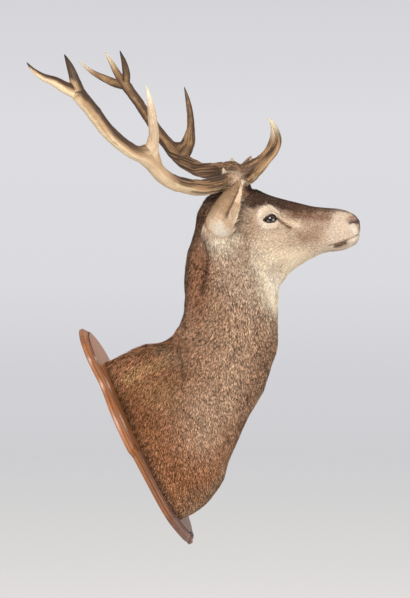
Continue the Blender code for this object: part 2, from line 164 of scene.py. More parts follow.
def array_mesh(name, points, quads, triangles=()):
    """A smooth mesh object at the origin from rows of points and rows of corner numbers."""
    triangles = np.asarray(triangles, dtype=int).reshape(-1, 3)
    mesh = bpy.data.meshes.new(name)
    mesh.vertices.add(len(points))
    mesh.vertices.foreach_set("co", np.asarray(points, dtype=np.float32).ravel())
    corners = np.concatenate([quads.ravel(), triangles.ravel()]).astype(np.int32)
    starts = np.concatenate([np.arange(len(quads)) * 4, len(quads) * 4 + np.arange(len(triangles)) * 3])
    mesh.loops.add(len(corners))
    mesh.loops.foreach_set("vertex_index", corners)
    mesh.polygons.add(len(starts))
    mesh.polygons.foreach_set("loop_start", starts.astype(np.int32))
    mesh.update(calc_edges=True)
    mesh.shade_smooth()
    return new_object(name, mesh)


def tube_faces(rows, sides):
    """Quads between each ring and the next, the last point of a ring joined to its first."""
    row, side = np.meshgrid(np.arange(rows - 1), np.arange(sides), indexing="ij")
    after = (side + 1) % sides
    return np.stack([row * sides + side, row * sides + after,
                     (row + 1) * sides + after, (row + 1) * sides + side], axis=-1).reshape(-1, 4)


def closed_tube(rings):
    """A tube of rings with a fan to a pole over each end: its points, quads and triangles."""
    rows, sides = rings.shape[:2]
    points = np.vstack([rings.reshape(-1, 3), rings[0].mean(axis=0), rings[-1].mean(axis=0)])
    here = np.arange(sides)
    after = (here + 1) % sides
    last = (rows - 1) * sides
    fans = np.vstack([np.stack([np.full(sides, rows * sides), after, here], axis=1),
                      np.stack([np.full(sides, rows * sides + 1), last + here, last + after], axis=1)])
    return points, tube_faces(rows, sides), fans


def grid_normals(grid):
    """Outward normals of a closed tube of points: the cross of the way round and the way along."""
    around = np.roll(grid, -1, axis=1) - np.roll(grid, 1, axis=1)
    along = np.gradient(grid, axis=0)
    return unit(np.cross(around, along))

# %% [markdown]
# ## The plan of the body
# The form is one long loft. Each rib says where the line of the back and the line of the
# throat pass, how wide the body is, how high its widest place lies and how square it is.
# These are the same ribs as the solids', so the skin lies evenly inside them.

# %% Ribs
# Forward and height of the back, then of the throat, and half width, in millimetres; the part of
# the rib's height where it is widest; and the power of its curve above and under that place.
RIBS = {
    "board": (23.3, 241, 23.3, -263, 148, 0.3, 1.45, 2.9),
    "shoulder_back": (82, 240, 69, -264, 158, 0.32, 1.45, 2.7),
    "shoulder": (147, 231, 122, -252, 166, 0.37, 1.5, 2.4),
    "brisket": (195, 220, 179, -221, 165, 0.42, 1.55, 2.2),
    "withers": (231, 224, 212, -184, 158, 0.46, 1.65, 2.1),
    "neck_root": (257, 238, 269, -134, 149, 0.49, 1.75, 2.1),
    "neck_low": (286, 262, 332, -83, 138, 0.5, 1.8, 2.0),
    "neck_quarter": (311, 294, 391, -38, 127, 0.5, 1.85, 2.0),
    "neck_middle": (347, 354, 473, 38, 114, 0.5, 1.9, 2.0),
    "neck_upper": (383, 406, 527, 124, 103, 0.5, 1.9, 2.0),
    "nape": (418, 447, 550, 168, 95, 0.51, 1.95, 2.0),
    "throat": (470, 508, 574, 205, 88, 0.54, 2.0, 1.95),
    "poll": (517, 528, 605, 221, 83, 0.58, 2.1, 1.9),
    "pedicles": (567, 527, 629, 229, 81, 0.6, 2.2, 1.9),
    "brow": (607, 506, 652, 233, 80, 0.6, 2.3, 1.9),
    "eyes": (639, 482, 675, 236, 77, 0.6, 2.3, 1.9),
    "cheek": (669, 449, 697, 236, 68, 0.58, 2.2, 1.9),
    "mid_face": (700, 420, 720, 236, 57, 0.56, 2.1, 2.0),
    "bridge": (729, 395, 742, 231, 48, 0.54, 2.1, 2.1),
    "muzzle_back": (762, 367, 765, 222, 42, 0.52, 2.1, 2.2),
    "muzzle": (797, 344, 788, 216, 40, 0.52, 2.1, 2.3),
    "nostrils": (824, 327, 807, 216, 39, 0.55, 2.2, 2.3),
    "nose": (845, 308, 824, 219, 36, 0.57, 2.3, 2.2),
    "lip": (858, 290, 839, 230, 28, 0.57, 2.3, 2.2),
    "tip": (863, 272, 852, 246, 13, 0.55, 2.2, 2.2),
}
SWELLINGS = metres({   # place, reach and rise in millimetres
    "shoulder_blade": ((160, 127, 20), 110, 10),
    "shoulder_point": ((130, 242, -120), 75, 14),
    "brow_ridge": ((70, 635, 424), 24, 9),
    "eye_socket": ((78, 642, 386), 20, -4),
    "cheekbone": ((72, 644, 345), 30, 4),
    "cheek_muscle": ((75, 607, 295), 42, 4),
    "tear_pit": ((54, 692, 352), 18, -3),
    "nostril_wing": ((34, 843, 281), 16, 3),
    "upper_lip": ((38, 807, 255), 24, 2),
})
rib_rows = np.array(list(RIBS.values())) / (1000, 1000, 1000, 1000, 1000, 1, 1, 1)
rib_middle = (rib_rows[:, 0:2] + rib_rows[:, 2:4]) / 2
rib_along = np.concatenate([[0.0], np.cumsum(np.linalg.norm(np.diff(rib_middle, axis=0), axis=1))])
at_rib = dict(zip(RIBS, rib_along))


def past(along, first, last):
    """0 before the first rib and 1 beyond the last."""
    return smooth(along, at_rib[first], at_rib[last])


print("length of the form along its middle:", round(float(rib_along[-1]), 3), "m")

SIDES = 228
ALONG = np.concatenate([np.linspace(0.0, at_rib["poll"], 176),
                        np.linspace(at_rib["poll"], rib_along[-1], 236)[1:]])
TURN = circle(SIDES)


def form(along, turn):
    """Superellipse ribs: sideways = half * cos^(2/p), lift = reach * sin^(2/p), then the swellings.

    A swelling adds rise * exp(-(distance / reach)^2) away from the rib's centre.
    """
    plan = read_between(rib_along, rib_rows, along)
    across, up = np.cos(turn)[None, :], np.sin(turn)[None, :]
    back, throat = plan[:, 0:2], plan[:, 2:4]
    length = np.linalg.norm(back - throat, axis=1, keepdims=True)
    rise = (back - throat) / length
    widest = throat + rise * length * plan[:, 5:6]
    power = np.where(up >= 0, plan[:, 6:7], plan[:, 7:8])
    reach = np.where(up >= 0, length * (1 - plan[:, 5:6]), length * plan[:, 5:6])
    sideways = plan[:, 4:5] * np.sign(across) * np.abs(across) ** (2 / power)
    lift = reach * np.sign(up) * np.abs(up) ** (2 / power)
    rings = np.stack([sideways, -(widest[:, 0:1] + rise[:, 0:1] * lift),
                      widest[:, 1:2] + rise[:, 1:2] * lift], axis=2)
    centre = np.stack([np.zeros(len(plan)), -widest[:, 0], widest[:, 1]], axis=1)[:, None, :]
    away = unit(rings - centre)
    total = np.zeros(rings.shape[:2])
    for place, spread, swell in SWELLINGS.values():
        for side in (-1, 1):
            total += swell * hill(np.linalg.norm(rings - unfold(place, side), axis=2), spread)
    return rings + away * total[:, :, None]


hide_outline = form(ALONG, TURN)
hide_normal = grid_normals(hide_outline)
folded = fold(hide_outline)
print("grid of the form:", hide_outline.shape)

# %% [markdown]
# ## Head and neck in relief
# A mount's head is read from small forms: the crest below the eye, the slit of the gland in
# front of it, the comma of the nostril, the mouth's line, the folds where the neck turns.
# Each is a bent line or a spot on the form, and the skin rises or sinks near it by
# depth * exp(-(distance / width)^2). Both sides are made at once by folding the points
# over the middle plane.

# %% Relief of the skin
TEAR = ((74.5, 661, 381.5), (72.5, 670, 363.5), (68, 682, 341))
LINES = metres({   # line, width and rise in millimetres
    "tear_slit": (TEAR, 2.8, -5), "tear_lips": (TEAR, 7.5, 2.2),
    "crest": (((73, 640, 352), (62, 690, 318), (50, 735, 296)), 13, 3.2),
    "nose_side": (((52, 690, 372), (43, 740, 345), (36, 800, 306)), 10, -2.2),
    "nostril": (((40, 836, 276.5), (35, 845.5, 276.5), (25, 853.5, 270)), 4.6, -11),
    "nostril_wing": (((41, 832, 285), (35, 843, 288), (24, 853, 282)), 5, 2.6),
    "mouth": (((0, 846, 238.5), (24, 837, 238), (33, 807, 237.5), (33.5, 783.6, 240.5), (32, 765.2, 242.5),
        (31, 744, 245)), 2.6, -6),
    "upper_lip": (((20, 842, 245), (34.5, 808, 245), (36, 770, 250)), 6, 1.6),
    "lower_lip": (((15, 835, 231), (30, 806, 230), (30, 775, 234)), 6, 1.8),
    "jaw_edge": (((46, 715, 250), (62, 650, 262), (74, 590, 270), (80, 560, 300)), 16, 2.8),
    "behind_jaw": (((80, 540, 330), (76, 548, 280), (60, 560, 235)), 20, -3.5),
    "neck_fold": (((58, 455, 446), (70, 447, 412), (77, 434, 378), (83, 414, 345), (88, 384, 305)), 6.5,
        -4.5),
    "upper_crease": (((72, 252, 198), (106, 239, 152), (126, 223, 110)), 10, -5),
    "side_crease": (((142, 165, 68), (163.6, 194, 18), (160, 224, -36)), 11, -5),
    "under_crease": (((150, 70, -20), (160, 130, -60), (158, 190, -110)), 24, -3),
    "windpipe": (((0, 560, 190), (0, 500, 90), (0, 400, -30)), 26, 4),
    "neck_muscle": (((86, 480, 360), (112, 400, 180), (138, 290, 20)), 35, 3),
    "throat_hollow": (((60, 545, 190), (82, 470, 75), (100, 380, -20)), 22, -3),
})
SPOTS = metres({   # centre, reach and rise
    "temple": ((74, 603, 435), 22, -3.5),
    "brow": ((71, 641, 412), 16, 3),
    "under_eye": ((80, 632, 366), 14, 2.2),
    "chin": ((0, 825, 222), 20, 2),
    "nose_middle": ((0, 858, 272), 10, -1.2),
    "ear_base": ((84, 487, 399), 38, 29),
})
relief = np.zeros(folded.shape[:2])
for line, width, rise in LINES.values():
    relief += rise * near(folded, line, width)
for centre, reach, rise in SPOTS.values():
    relief += rise * hill(np.linalg.norm(folded - centre, axis=-1), reach)

muzzle_part, face_part = past(ALONG, "eyes", "nostrils")[:, None], past(ALONG, "throat", "eyes")[:, None]
loose = (noise(hide_outline * (1.0, 1.0, 0.6), 0.075, 3) - 0.5) * 0.010
loose = loose + (noise(hide_outline, 0.030, 5) - 0.5) * 0.003
relief += loose * (1.0 - face_part) * smooth(ALONG, 0.0, 0.05)[:, None]
NECK_COAT, FACE_COAT, MUZZLE_COAT = 0.0052, 0.0030, 0.0012   # how deep the hair lies
coat_depth = (NECK_COAT * (1 - face_part) + FACE_COAT * face_part * (1 - muzzle_part)
              + MUZZLE_COAT * face_part * muzzle_part)
coat_depth = np.broadcast_to(coat_depth, relief.shape)
skin_grid = hide_outline + hide_normal * (relief - coat_depth)[..., None]
print("relief from", round(float(relief.min()) * 1000, 1), "to", round(float(relief.max()) * 1000, 1), "mm")

# %% [markdown]
# ## The eye's opening
# A glass eye is a ball set behind the lids. The opening is an almond, straight above from its
# rear corner to a peak near the front, drawn here on a plane that faces out of the head.
# Skin inside the almond sinks behind the ball; at the almond's edge it lies on the ball and
# from there it comes back to the form within a centimetre, which makes the two lids.

# %% Lids
EYE_CENTRE = np.array([0.0620, 0.640, 0.389])
EYE_BALL = 0.0203
LID_BALL, LEAST_MARGIN = EYE_BALL + 0.0012, 0.0115   # the lids lie on this ball, and at least so far out
EYES_FORWARD = 0.58                                  # nothing behind here belongs to an eye
EYE_OUT = unit(np.array([0.985, 0.11, 0.10]))
eye_back_to_front = np.array([-0.0056, 0.0380, -0.0086])
EYE_LONG = unit(eye_back_to_front - EYE_OUT * (eye_back_to_front @ EYE_OUT))
EYE_UP = unit(np.cross(EYE_LONG, EYE_OUT)) * (1 if np.cross(EYE_LONG, EYE_OUT)[2] > 0 else -1)
ALMOND = np.array([(-19, 0.5), (-12.5, 5.5), (-4.5, 9), (3.5, 11.2), (10.5, 10.8), (15.5, 7),
                   (18.5, 0), (14.5, -6.6), (6.5, -10.2), (-2, -10.4), (-10, -7.8),
                   (-15.5, -3.8)]) / 1000


def almond_edge(angle):
    """The almond's distance from its middle in a direction, smoothly between its twelve points."""
    known = np.arctan2(ALMOND[:, 1], ALMOND[:, 0])
    order = np.argsort(known)
    known, far = known[order], np.linalg.norm(ALMOND, axis=1)[order]
    known = np.concatenate([known - 2 * math.pi, known, known + 2 * math.pi])
    far = np.concatenate([far, far, far])[:, None]
    return read_between(known, far, np.asarray(angle).ravel())[:, 0].reshape(np.shape(angle))


def in_eye(points):
    """Folded places as (along the eye, up, out) from the ball's centre."""
    away = points - EYE_CENTRE
    return away @ EYE_LONG, away @ EYE_UP, away @ EYE_OUT


def lid_margin(edge):
    """How far out the lid's edge lies: sqrt(ball^2 - edge^2), or the least margin where that is more."""
    return np.maximum(np.sqrt(np.maximum(LID_BALL ** 2 - edge ** 2, 0.0)), LEAST_MARGIN)


def past_almond(long, up):
    """How far a place in the eye's plane lies beyond the almond's edge."""
    return np.hypot(long, up) - almond_edge(np.arctan2(up, long))


def open_lids(grid):
    """Skin inside the almond drawn in behind the ball, and the lids laid on the ball from its edge."""
    side = np.where(grid[..., 0] < 0, -1.0, 1.0)
    points = fold(grid)
    long, up, out = in_eye(points)
    far, edge = np.hypot(long, up), almond_edge(np.arctan2(up, long))
    margin = lid_margin(edge)
    beyond = smooth(far - edge, 0.0, 0.0085)
    lid_roll = 0.0020 * hill(far - edge - 0.0042, 0.0026)
    lid_crease = -0.0022 * hill(far - edge - 0.0085, 0.0022) * smooth(up, 0.0, 0.006)
    lid = margin + (out - margin) * beyond + lid_roll + lid_crease
    inside, at_edge = far < edge, far > edge * 0.80
    squeeze = np.where(inside, np.where(at_edge, edge, far * 0.80) / np.maximum(far, 1e-6), 1.0)
    depth = np.where(inside, np.where(at_edge, margin - 0.001, 0.0), lid)
    moves = (out > 0.0) & (far < edge + 0.0120) & (points[..., 1] > EYES_FORWARD)
    moved = (EYE_CENTRE + (long * squeeze)[..., None] * EYE_LONG + (up * squeeze)[..., None] * EYE_UP
             + depth[..., None] * EYE_OUT)
    return unfold(np.where(moves[..., None], moved, points), side)


skin_grid = open_lids(skin_grid)
skin_normal = grid_normals(skin_grid)
print("eye opening:", np.round(np.ptp(ALMOND, axis=0) * 1000, 1), "mm")

# %% [markdown]
# ## Markings
# A red deer is grizzled brown, darker along the back and on the forehead, warm on the
# shoulder, and cream on the muzzle, under the jaw and round the eye. The skin and the coat
# must agree, so both ask one function for their colour. It starts from the neck's brown and
# lays soft patches over it, each one a distance to a line or a spot on the animal. The ears
# and the antlers take their tones from the same list and are painted by the same function.
# Some layers are painted light and shade, not markings: shade in the neck's creases, where
# the coat meets the board and in the gap by the antler's base, highlights on the lips and
# the ear's root, shade in the ear's fold and cup, and the antlers' shaded sides and far antler.

# %% Colours of the hide
TONES = {name: tone(*rgb) for name, rgb in {
    "neck": (154, 120, 94), "back": (80, 58, 42), "trunk": (144, 100, 70), "ochre": (188, 144, 100),
    "russet": (130, 84, 52), "grey": (172, 140, 114), "brisket": (138, 109, 84), "pale": (152, 124, 96),
    "collar": (167, 140, 118), "cheek": (190, 162, 137), "cream": (250, 226, 196), "crown": (64, 42, 31),
    "bridge": (84, 53, 36), "muzzle": (222, 199, 176), "slit": (128, 72, 46), "lid": (34, 24, 20),
    "nose": (70, 55, 48), "wing": (176, 130, 112), "lip": (84, 60, 42), "mouth": (112, 84, 66),
    "jaw": (172, 138, 106), "front": (118, 88, 66), "gap_shadow": (96, 70, 54), "mane": (126, 83, 57),
    "stripe": (104, 62, 40), "ear_root": (250, 228, 200), "eye_ring": (255, 233, 209),
    "parting": (40, 27, 21), "white": (255, 246, 230), "painted_shade": (0, 0, 0),
    "ear_tan": (200, 166, 132), "ear_shade": (168, 132, 98), "ear_cream": (242, 212, 180),
    "ear_painted_highlight": (255, 244, 228), "ear_low": (232, 198, 164), "ear_rim": (64, 46, 34),
    "ear_tip": (150, 120, 92), "ear_fold_hair_and_shade": (84, 58, 42), "ear_edge": (236, 208, 178),
    "ear_inside": (246, 224, 200), "ear_inside_shade": (176, 146, 124), "far_bone_shaded": (160, 126, 88),
    "far_brown_shaded": (108, 78, 52), "far_painted_shade": (62, 43, 30), "far_pearl_shaded": (112, 86, 66),
    "bone": (196, 168, 130), "bone_brown": (168, 136, 100), "bone_painted_light": (224, 202, 166),
    "trez_grey": (176, 152, 130), "fork_tan": (184, 156, 126), "bone_painted_half_shade": (138, 104, 72),
    "bone_painted_shade": (50, 35, 26), "pearl": (190, 162, 138), "base_stain_and_shade": (84, 60, 42),
    "furrow": (50, 34, 25), "ridge": (196, 150, 106), "pit": (78, 58, 44), "ivory": (236, 218, 186),
    "black_tip": (38, 30, 25)}.items()}
PATCHES = {   # tone, amount, then width and line in millimetres
    "trunk": (("russet", 0.85, 90, (100, 50, 120), (150, 70, 0), (150, 90, -120)),
              ("grey", 0.8, 70, (155, 235, 20), (160, 215, -50)),
              ("grey", 0.6, 50, (100, 460, 180), (120, 390, 80), (130, 300, -20)),
              ("ochre", 0.8, 20, (59, 75, 178), (62, 130, 179), (75, 195, 168)),
              ("ochre", 0.35, 30, (100, 100, 140), (120, 160, 110)),
              ("pale", 0.8, 22, (95, 60, -244), (90, 160, -207), (86, 200, -178)),
              ("pale", 0.55, 20, (22, 192, 213), (67, 215, 184), (105, 235, 153)),
              ("ochre", 0.35, 30, (130, 130, 95), (133, 175, 65)),
              ("front", 0.6, 26, (131, 70, -215), (135, 115, -198))),
    "throat": (("front", 0.6, 22, (60, 478, 85), (66, 432, 33), (72, 351, -37)),),
    "nape": (("back", 0.7, 26, (24, 516, 523), (46, 487, 494), (56, 452, 452)),
             ("crown", 0.8, 13, (56, 470, 480), (70, 440, 452), (76, 418, 418))),
    "jaw": (("eye_ring", 0.75, 24, (46, 576, 240), (30, 568, 212)),
            ("jaw", 0.6, 16, (56, 700, 300), (46, 735, 285))),
    "bridge": (("stripe", 0.75, 12.5, (50, 690, 376), (43, 725, 356), (40, 755, 340), (36, 790, 322)),),
    "under_ear": (("collar", 0.65, 13, (87, 484, 378), (79, 462, 398)),
                  ("cream", 0.75, 13, (84, 527, 402), (84, 536, 388)),
                  ("cream", 0.35, 16, (77, 563, 327), (74, 580, 335))),
    "round_ear": (("crown", 0.75, 5, (24, 469.4, 499.3), (49.5, 459.8, 463.7), (66.6, 454.6, 425.8)),
                  # a painted shadow in the gap between the ear and the antler's base
                  ("gap_shadow", 0.75, 7.5, (66, 616, 467), (73.6, 600, 458), (77, 576, 452)),
                  ("cream", 0.7, 5.5, (50, 612, 485), (66, 600, 474))),
    "tear": (("cream", 0.8, 11, (74, 664, 372), (66, 690, 352), (60, 705, 338)),),
    "wing": (("wing", 0.85, 8, (40, 838, 290), (30, 849, 289), (20, 857, 268)),),
    # white lips, with a painted highlight over their front and the chin
    "lips": (("white", 0.7, 9.5, (34, 834, 264), (31, 842, 247), (29, 836, 230), (24, 812, 219)),
             ("lip", 1.0, 6.2, (29, 769, 236.5), (31, 785, 235), (31.5, 799, 234.5))),
}
PALE = metres({   # amount in thousandths, width and line of the cream below the jaw and on the cheek
    "jaw": (1150, 34, ((15, 800, 222), (20, 700, 226), (25, 630, 222), (22, 580, 198), (18, 562, 176))),
    "low": (800, 32, ((48, 670, 262), (60, 620, 285), (69, 575, 288), (55, 553, 235), (45, 545, 190))),
    "cheek": (400, 32, ((74, 650, 335), (74, 600, 345)))})
EAR_MOUND = (0.096, 0.488, 0.410)
# The crown's dark hair ends at these heights, for places this far forward.
CROWN_FORWARD = (0.50, 0.590, 0.614, 0.6554, 0.6744, 0.7144, 0.7591, 0.8017, 0.830)
CROWN_EDGE = (0.515, 0.468, 0.437, 0.4220, 0.4000, 0.3650, 0.3440, 0.3195, 0.3080)
# The bare pad's half width at heights from the lip up to above the nostrils.
PAD_HEIGHT = (0.240, 0.250, 0.260, 0.272, 0.286, 0.300)
PAD_HALF = (0.012, 0.0165, 0.0180, 0.0225, 0.0275, 0.0230)


def nose_pad(points):
    """1 on the bare pad, a cubed oval whose half width swells from the lip up to the nostrils."""
    across = points[..., 0] / np.interp(points[..., 2], PAD_HEIGHT, PAD_HALF)
    place = (np.abs(across) ** 3 + np.abs((points[..., 2] - 0.2705) / 0.0315) ** 3) ** (1 / 3)
    ragged = 0.16 * (noise(points, 0.004, 95) - 0.5)
    return (1 - smooth(place + ragged, 0.90, 1.06)) * smooth(points[..., 1], 0.824, 0.833)


def paint(colour, points, *layers):
    """Layers one over the other: (tone, amount), or the name of a group of patches.

    A patch is laid by amount * exp(-(distance to its line / width)^2).
    """
    for layer in layers:
        for name, amount, *patch in PATCHES[layer] if isinstance(layer, str) else [layer]:
            if patch:
                amount = amount * near(points, np.array(patch[1:]) / 1000, patch[0] / 1000)
            colour = blend(colour, TONES[name] if isinstance(name, str) else name, amount)
    return colour


def coat_colour(points, along, up):
    """Layers of colour on folded places; up is 1 on the back and -1 on the throat."""
    forward, height = points[..., 1], points[..., 2]
    body = 1 - past(along, "throat", "pedicles")

    def crease(name, width):
        """The hill over one of the relief's own lines."""
        return near(points, LINES[name][0], width)

    pale = sum(amount * near(points, line, width) for amount, width, line in PALE.values())
    edge = np.interp(forward, CROWN_FORWARD, CROWN_EDGE) + 0.014 * (noise(points, 0.007, 105) - 0.5)
    dark = smooth(height - edge, -0.010, 0.014) * past(along, "nape", "pedicles")
    crown = blend(TONES["crown"], TONES["bridge"], smooth(forward, 0.66, 0.76))
    mound = np.linalg.norm((points - EAR_MOUND) * (0.7, 1.0, 1.0), axis=-1)
    mound = mound + 0.016 * (noise(points, 0.010, 99) - 0.5)
    ragged = 0.020 * (noise(points, 0.012, 91) - 0.5)
    muzzle = smooth(forward + ragged - (0.7870 + 1.05 * (height - 0.299)), -0.034, 0.024)
    muzzle = muzzle * smooth(forward, 0.70, 0.73) * (1 - 0.90 * smooth(up, 0.76, 0.95))
    long, rise, out = in_eye(points)
    ring = np.hypot(long / 0.033, (rise - 0.0055) / 0.033) + 0.18 * (noise(points, 0.007, 93) - 0.5)
    lid = (1 - smooth(past_almond(long, rise), 0.0012, 0.0034)) * (out > 0.0) * (forward > EYES_FORWARD)
    pebbled = TONES["nose"] * (0.75 + 0.5 * noise(points, 0.0026, 103))[..., None]
    return np.clip(paint(
        TONES["neck"], points,
        ("trunk", 1 - past(along, "brisket", "neck_quarter")), "trunk",
        ("brisket", 0.7 * smooth(-up, 0.78, 1.0) * body), "throat",
        ("collar", past(along, "neck_middle", "nape") * smooth(-up, -0.75, 0.1) * body),
        ("mane", 0.8 * smooth(up, 0.34, 0.62) * past(along, "neck_root", "neck_middle") * body),
        # painted shade in the neck's upper and side creases
        ("painted_shade", 0.50 * crease("upper_crease", 0.0075)), ("painted_shade", 0.45 * crease("side_crease", 0.0070)),
        ("back", (0.08 + 0.82 * past(along, "withers", "neck_quarter")) * smooth(up, 0.80, 0.985) * body),
        # the nape's dark patches, then painted shade where the coat meets the board
        "nape", ("painted_shade", 0.55 * (1 - smooth(forward, 0.026, 0.056))),
        ("cheek", past(along, "throat", "brow")), ("cream", np.clip(pale, 0, 0.96)), "jaw",
        (crown, dark * (0.96 - 0.20 * smooth(forward, 0.72, 0.82))),
        ("parting", 0.65 * dark * smooth(up, 0.84, 0.99)), "bridge",
        ("ear_root", 0.95 * hill(mound, 0.036)), "under_ear",
        # painted shade along the neck's fold behind the ear
        ("painted_shade", 0.68 * crease("neck_fold", 0.0100)), "round_ear", ("muzzle", muzzle),
        ("eye_ring", 0.97 * (1 - smooth(ring, 0.88, 1.10)) * (out > 0.0)), "tear",
        ("slit", crease("tear_slit", 0.0050)), ("lid", lid), "wing",
        (pebbled, np.clip(nose_pad(points) + crease("nostril", 0.0050), 0, 1)), "lips",
        ("mouth", 0.7 * crease("mouth", 0.0018))), 0, 1)


def bare_skin(points):
    """1 where no hair grows: the nose pad, inside the nostril, the lids' edges and the slit."""
    long, rise, out = in_eye(points)
    lid = 1 - smooth(past_almond(long, rise), 0.0008, 0.0022)
    lid = lid * (out > 0) * (points[..., 1] > EYES_FORWARD)
    slit = near(points, LINES["tear_slit"][0], 0.0024)
    return np.clip(lid + nose_pad(points) + near(points, LINES["nostril"][0], 0.0055) + slit, 0, 1)


skin_up = np.broadcast_to(np.sin(TURN)[None, :], folded.shape[:2])
skin_along = np.broadcast_to(ALONG[:, None], folded.shape[:2])
skin_colour = coat_colour(folded, skin_along, skin_up)
print("mean colour of the hide:", np.round(skin_colour.mean(axis=(0, 1)), 3))

# %% The skin's mesh
points, quads, fans = closed_tube(skin_grid)
skin = array_mesh("hide", points, quads, fans)
ends = np.vstack([skin_colour[0].mean(axis=0), skin_colour[-1].mean(axis=0)])
colour_points(skin.data, np.vstack([skin_colour.reshape(-1, 3), ends]))
bare = np.append(bare_skin(folded).ravel(), (0.0, 1.0)).astype(np.float32)
skin.data.attributes.new("bare", "FLOAT", "POINT").data.foreach_set("value", bare)
print("hide:", len(quads) * 2 + len(fans), "triangles")

# %% [markdown]
# ## Ears
# A deer's ear is a leaf rolled to a tube at its root. Each row across it is an arc whose
# radius swells and dies away and whose spread opens from a closed tube to a shallow cup. The
# wall is thick in the middle and thin at the rim, and the two faces are joined round the rim.

# %% Ear shells
EAR_ROOT = np.array([0.083, 0.450, 0.437])
EAR_TIPS = {"right": np.array([0.150, 0.619, 0.523]), "left": np.array([0.156, 0.662, 0.578])}
EAR_OPENS = np.array([-0.45, 0.75, -0.47])
EAR_ROWS, EAR_COLUMNS = 84, 56
VIEW_RIGHT = np.array([0.0, -0.889, -0.457])   # the camera's right


def ear_shell(label, side):
    """root + aim * length * t - cup * bend + cup * r (1 - cos a) + wide * r sin a, then the wall.

    Radius r and spread a change with t along the ear; near the root the shell sinks into the head.
    """
    root, tip = unfold(EAR_ROOT, side), unfold(EAR_TIPS[label], side)
    length = np.linalg.norm(tip - root)
    aim = (tip - root) / length
    cup = unfold(EAR_OPENS, side)
    cup = unit(cup - aim * (cup @ aim))
    wide = np.cross(aim, cup)
    t = np.linspace(0.0, 1.0, EAR_ROWS)[:, None]
    turn = np.linspace(-1.0, 1.0, EAR_COLUMNS)[None, :]
    radius = np.interp(t, (0, 0.04, 0.09, 0.16, 0.3, 0.5, 0.7, 0.86, 0.95, 1.0),
                       (0.014, 0.026, 0.035, 0.042, 0.048, 0.050, 0.044, 0.030, 0.016, 0.0015)) - 0.0015
    spread = np.radians(np.interp(t, (0, 0.2, 0.4, 0.7, 1.0), (155, 125, 92, 75, 62)))
    angle = turn * spread
    bend = 0.016 * np.sin(math.pi * t)
    sink = (0.020 * (1 - smooth(t, 0.0, 0.16)))[..., None] * (-side, 0.0, 0.0)
    ripple = 0.0012 * np.sin(9 * t + 3 * turn) * np.abs(turn) ** 2
    inward = -np.cos(angle)[..., None] * cup + np.sin(angle)[..., None] * wide
    outer = (root + aim * length * t[..., None] - cup * bend[..., None] + cup * radius[..., None]
             + inward * (radius + ripple)[..., None] + sink)
    wall = 0.0030 * (1 - 0.6 * np.abs(turn) ** 3) * (1 - 0.5 * t)
    inner = outer - inward * wall[..., None]
    ring = np.concatenate([outer, inner[:, ::-1]], axis=1)
    across = np.concatenate([turn + 0 * t, turn[:, ::-1] + 0 * t], axis=1)
    face = np.concatenate([np.zeros(angle.shape), np.ones(angle.shape)], axis=1)
    if np.sum(np.cross(ring, np.roll(ring, -1, axis=1)) * np.gradient(ring, axis=0)) < 0:
        ring, across, face = ring[:, ::-1], across[:, ::-1], face[:, ::-1]
    fore = 1.0 if wide @ VIEW_RIGHT > 0 else -1.0
    return ring, np.broadcast_to(t, face.shape), across, face, wide * fore, fore


def ear_colour(t, across, face, points, fore):
    """Cream at the swollen root, tan on the back with a dark rim, cream inside.

    A painted highlight lies on the root's cream, and painted shade along the front fold and
    deep in the cup.
    """
    swollen = np.hypot((t - 0.24) / 0.27, (across * fore - 0.58) / 0.80)
    swollen = swollen + 0.30 * (noise(points, 0.009, 25) - 0.5)
    ragged = t + 0.12 * (noise(points, 0.006, 23) - 0.5)
    rolled = smooth(t, 0.40, 0.52) * (1 - smooth(t, 0.90, 0.97))
    # painted shade, strongest in the middle of the cup's inside
    deep = 0.55 * (1 - smooth(np.abs(across), 0.2, 0.7))
    return paint(
        TONES["ear_tan"], points, ("ear_shade", 0.5 * noise(points, 0.010, 21)),
        ("ear_cream", 1 - smooth(swollen, 0.35, 1.25)),
        # a painted highlight on the middle of the root's cream
        ("ear_painted_highlight", 0.9 * (1 - smooth(swollen, 0.05, 0.70))),
        ("ear_low", 0.75 * (1 - smooth(ragged, 0.02, 0.12))),
        ("ear_rim", 0.85 * smooth(-across * fore, 0.88, 0.97) * smooth(t, 0.36, 0.50)),
        ("ear_tip", 0.55 * smooth(t, 0.55, 0.85)),
        # dark hair and painted shade along the fold where the front edge rolls
        ("ear_fold_hair_and_shade", 0.85 * hill(across * fore - 0.60, 0.055) * rolled),
        ("ear_edge", smooth(across * fore, 0.66, 0.72) * rolled),
        (blend(TONES["ear_inside"], TONES["ear_inside_shade"], deep), face))


EARS = {}
for label, side in BOTH_SIDES:
    ring, t, across, face, ahead, fore = ear_shell(label, side)
    colours = ear_colour(t, across, face, ring, fore)
    points, quads, fans = closed_tube(ring)
    ear = array_mesh("ear_shell_" + label, points, quads, fans)
    ends = np.vstack([colours[0].mean(axis=0), colours[-1].mean(axis=0)])
    colour_points(ear.data, np.vstack([colours.reshape(-1, 3), ends]))
    EARS[label] = (ear, ring, t, across, face, ahead, fore)
    print("ear", label, "shell box", np.round(np.ptp(points, axis=0) * 1000), "mm")

# %% [markdown]
# ## The coat
# Short deer hair lies flat and breaks into small locks that catch the light one by one. Each
# tuft here is a blade of five points: a pair at its root, a pair half way and one tip. It
# leaves the skin at a low angle and follows the lie, which runs from the nose back over the
# head and down the neck. Hundreds of thousands of them are placed at once, evenly by area,
# and split among pieces small enough to export.

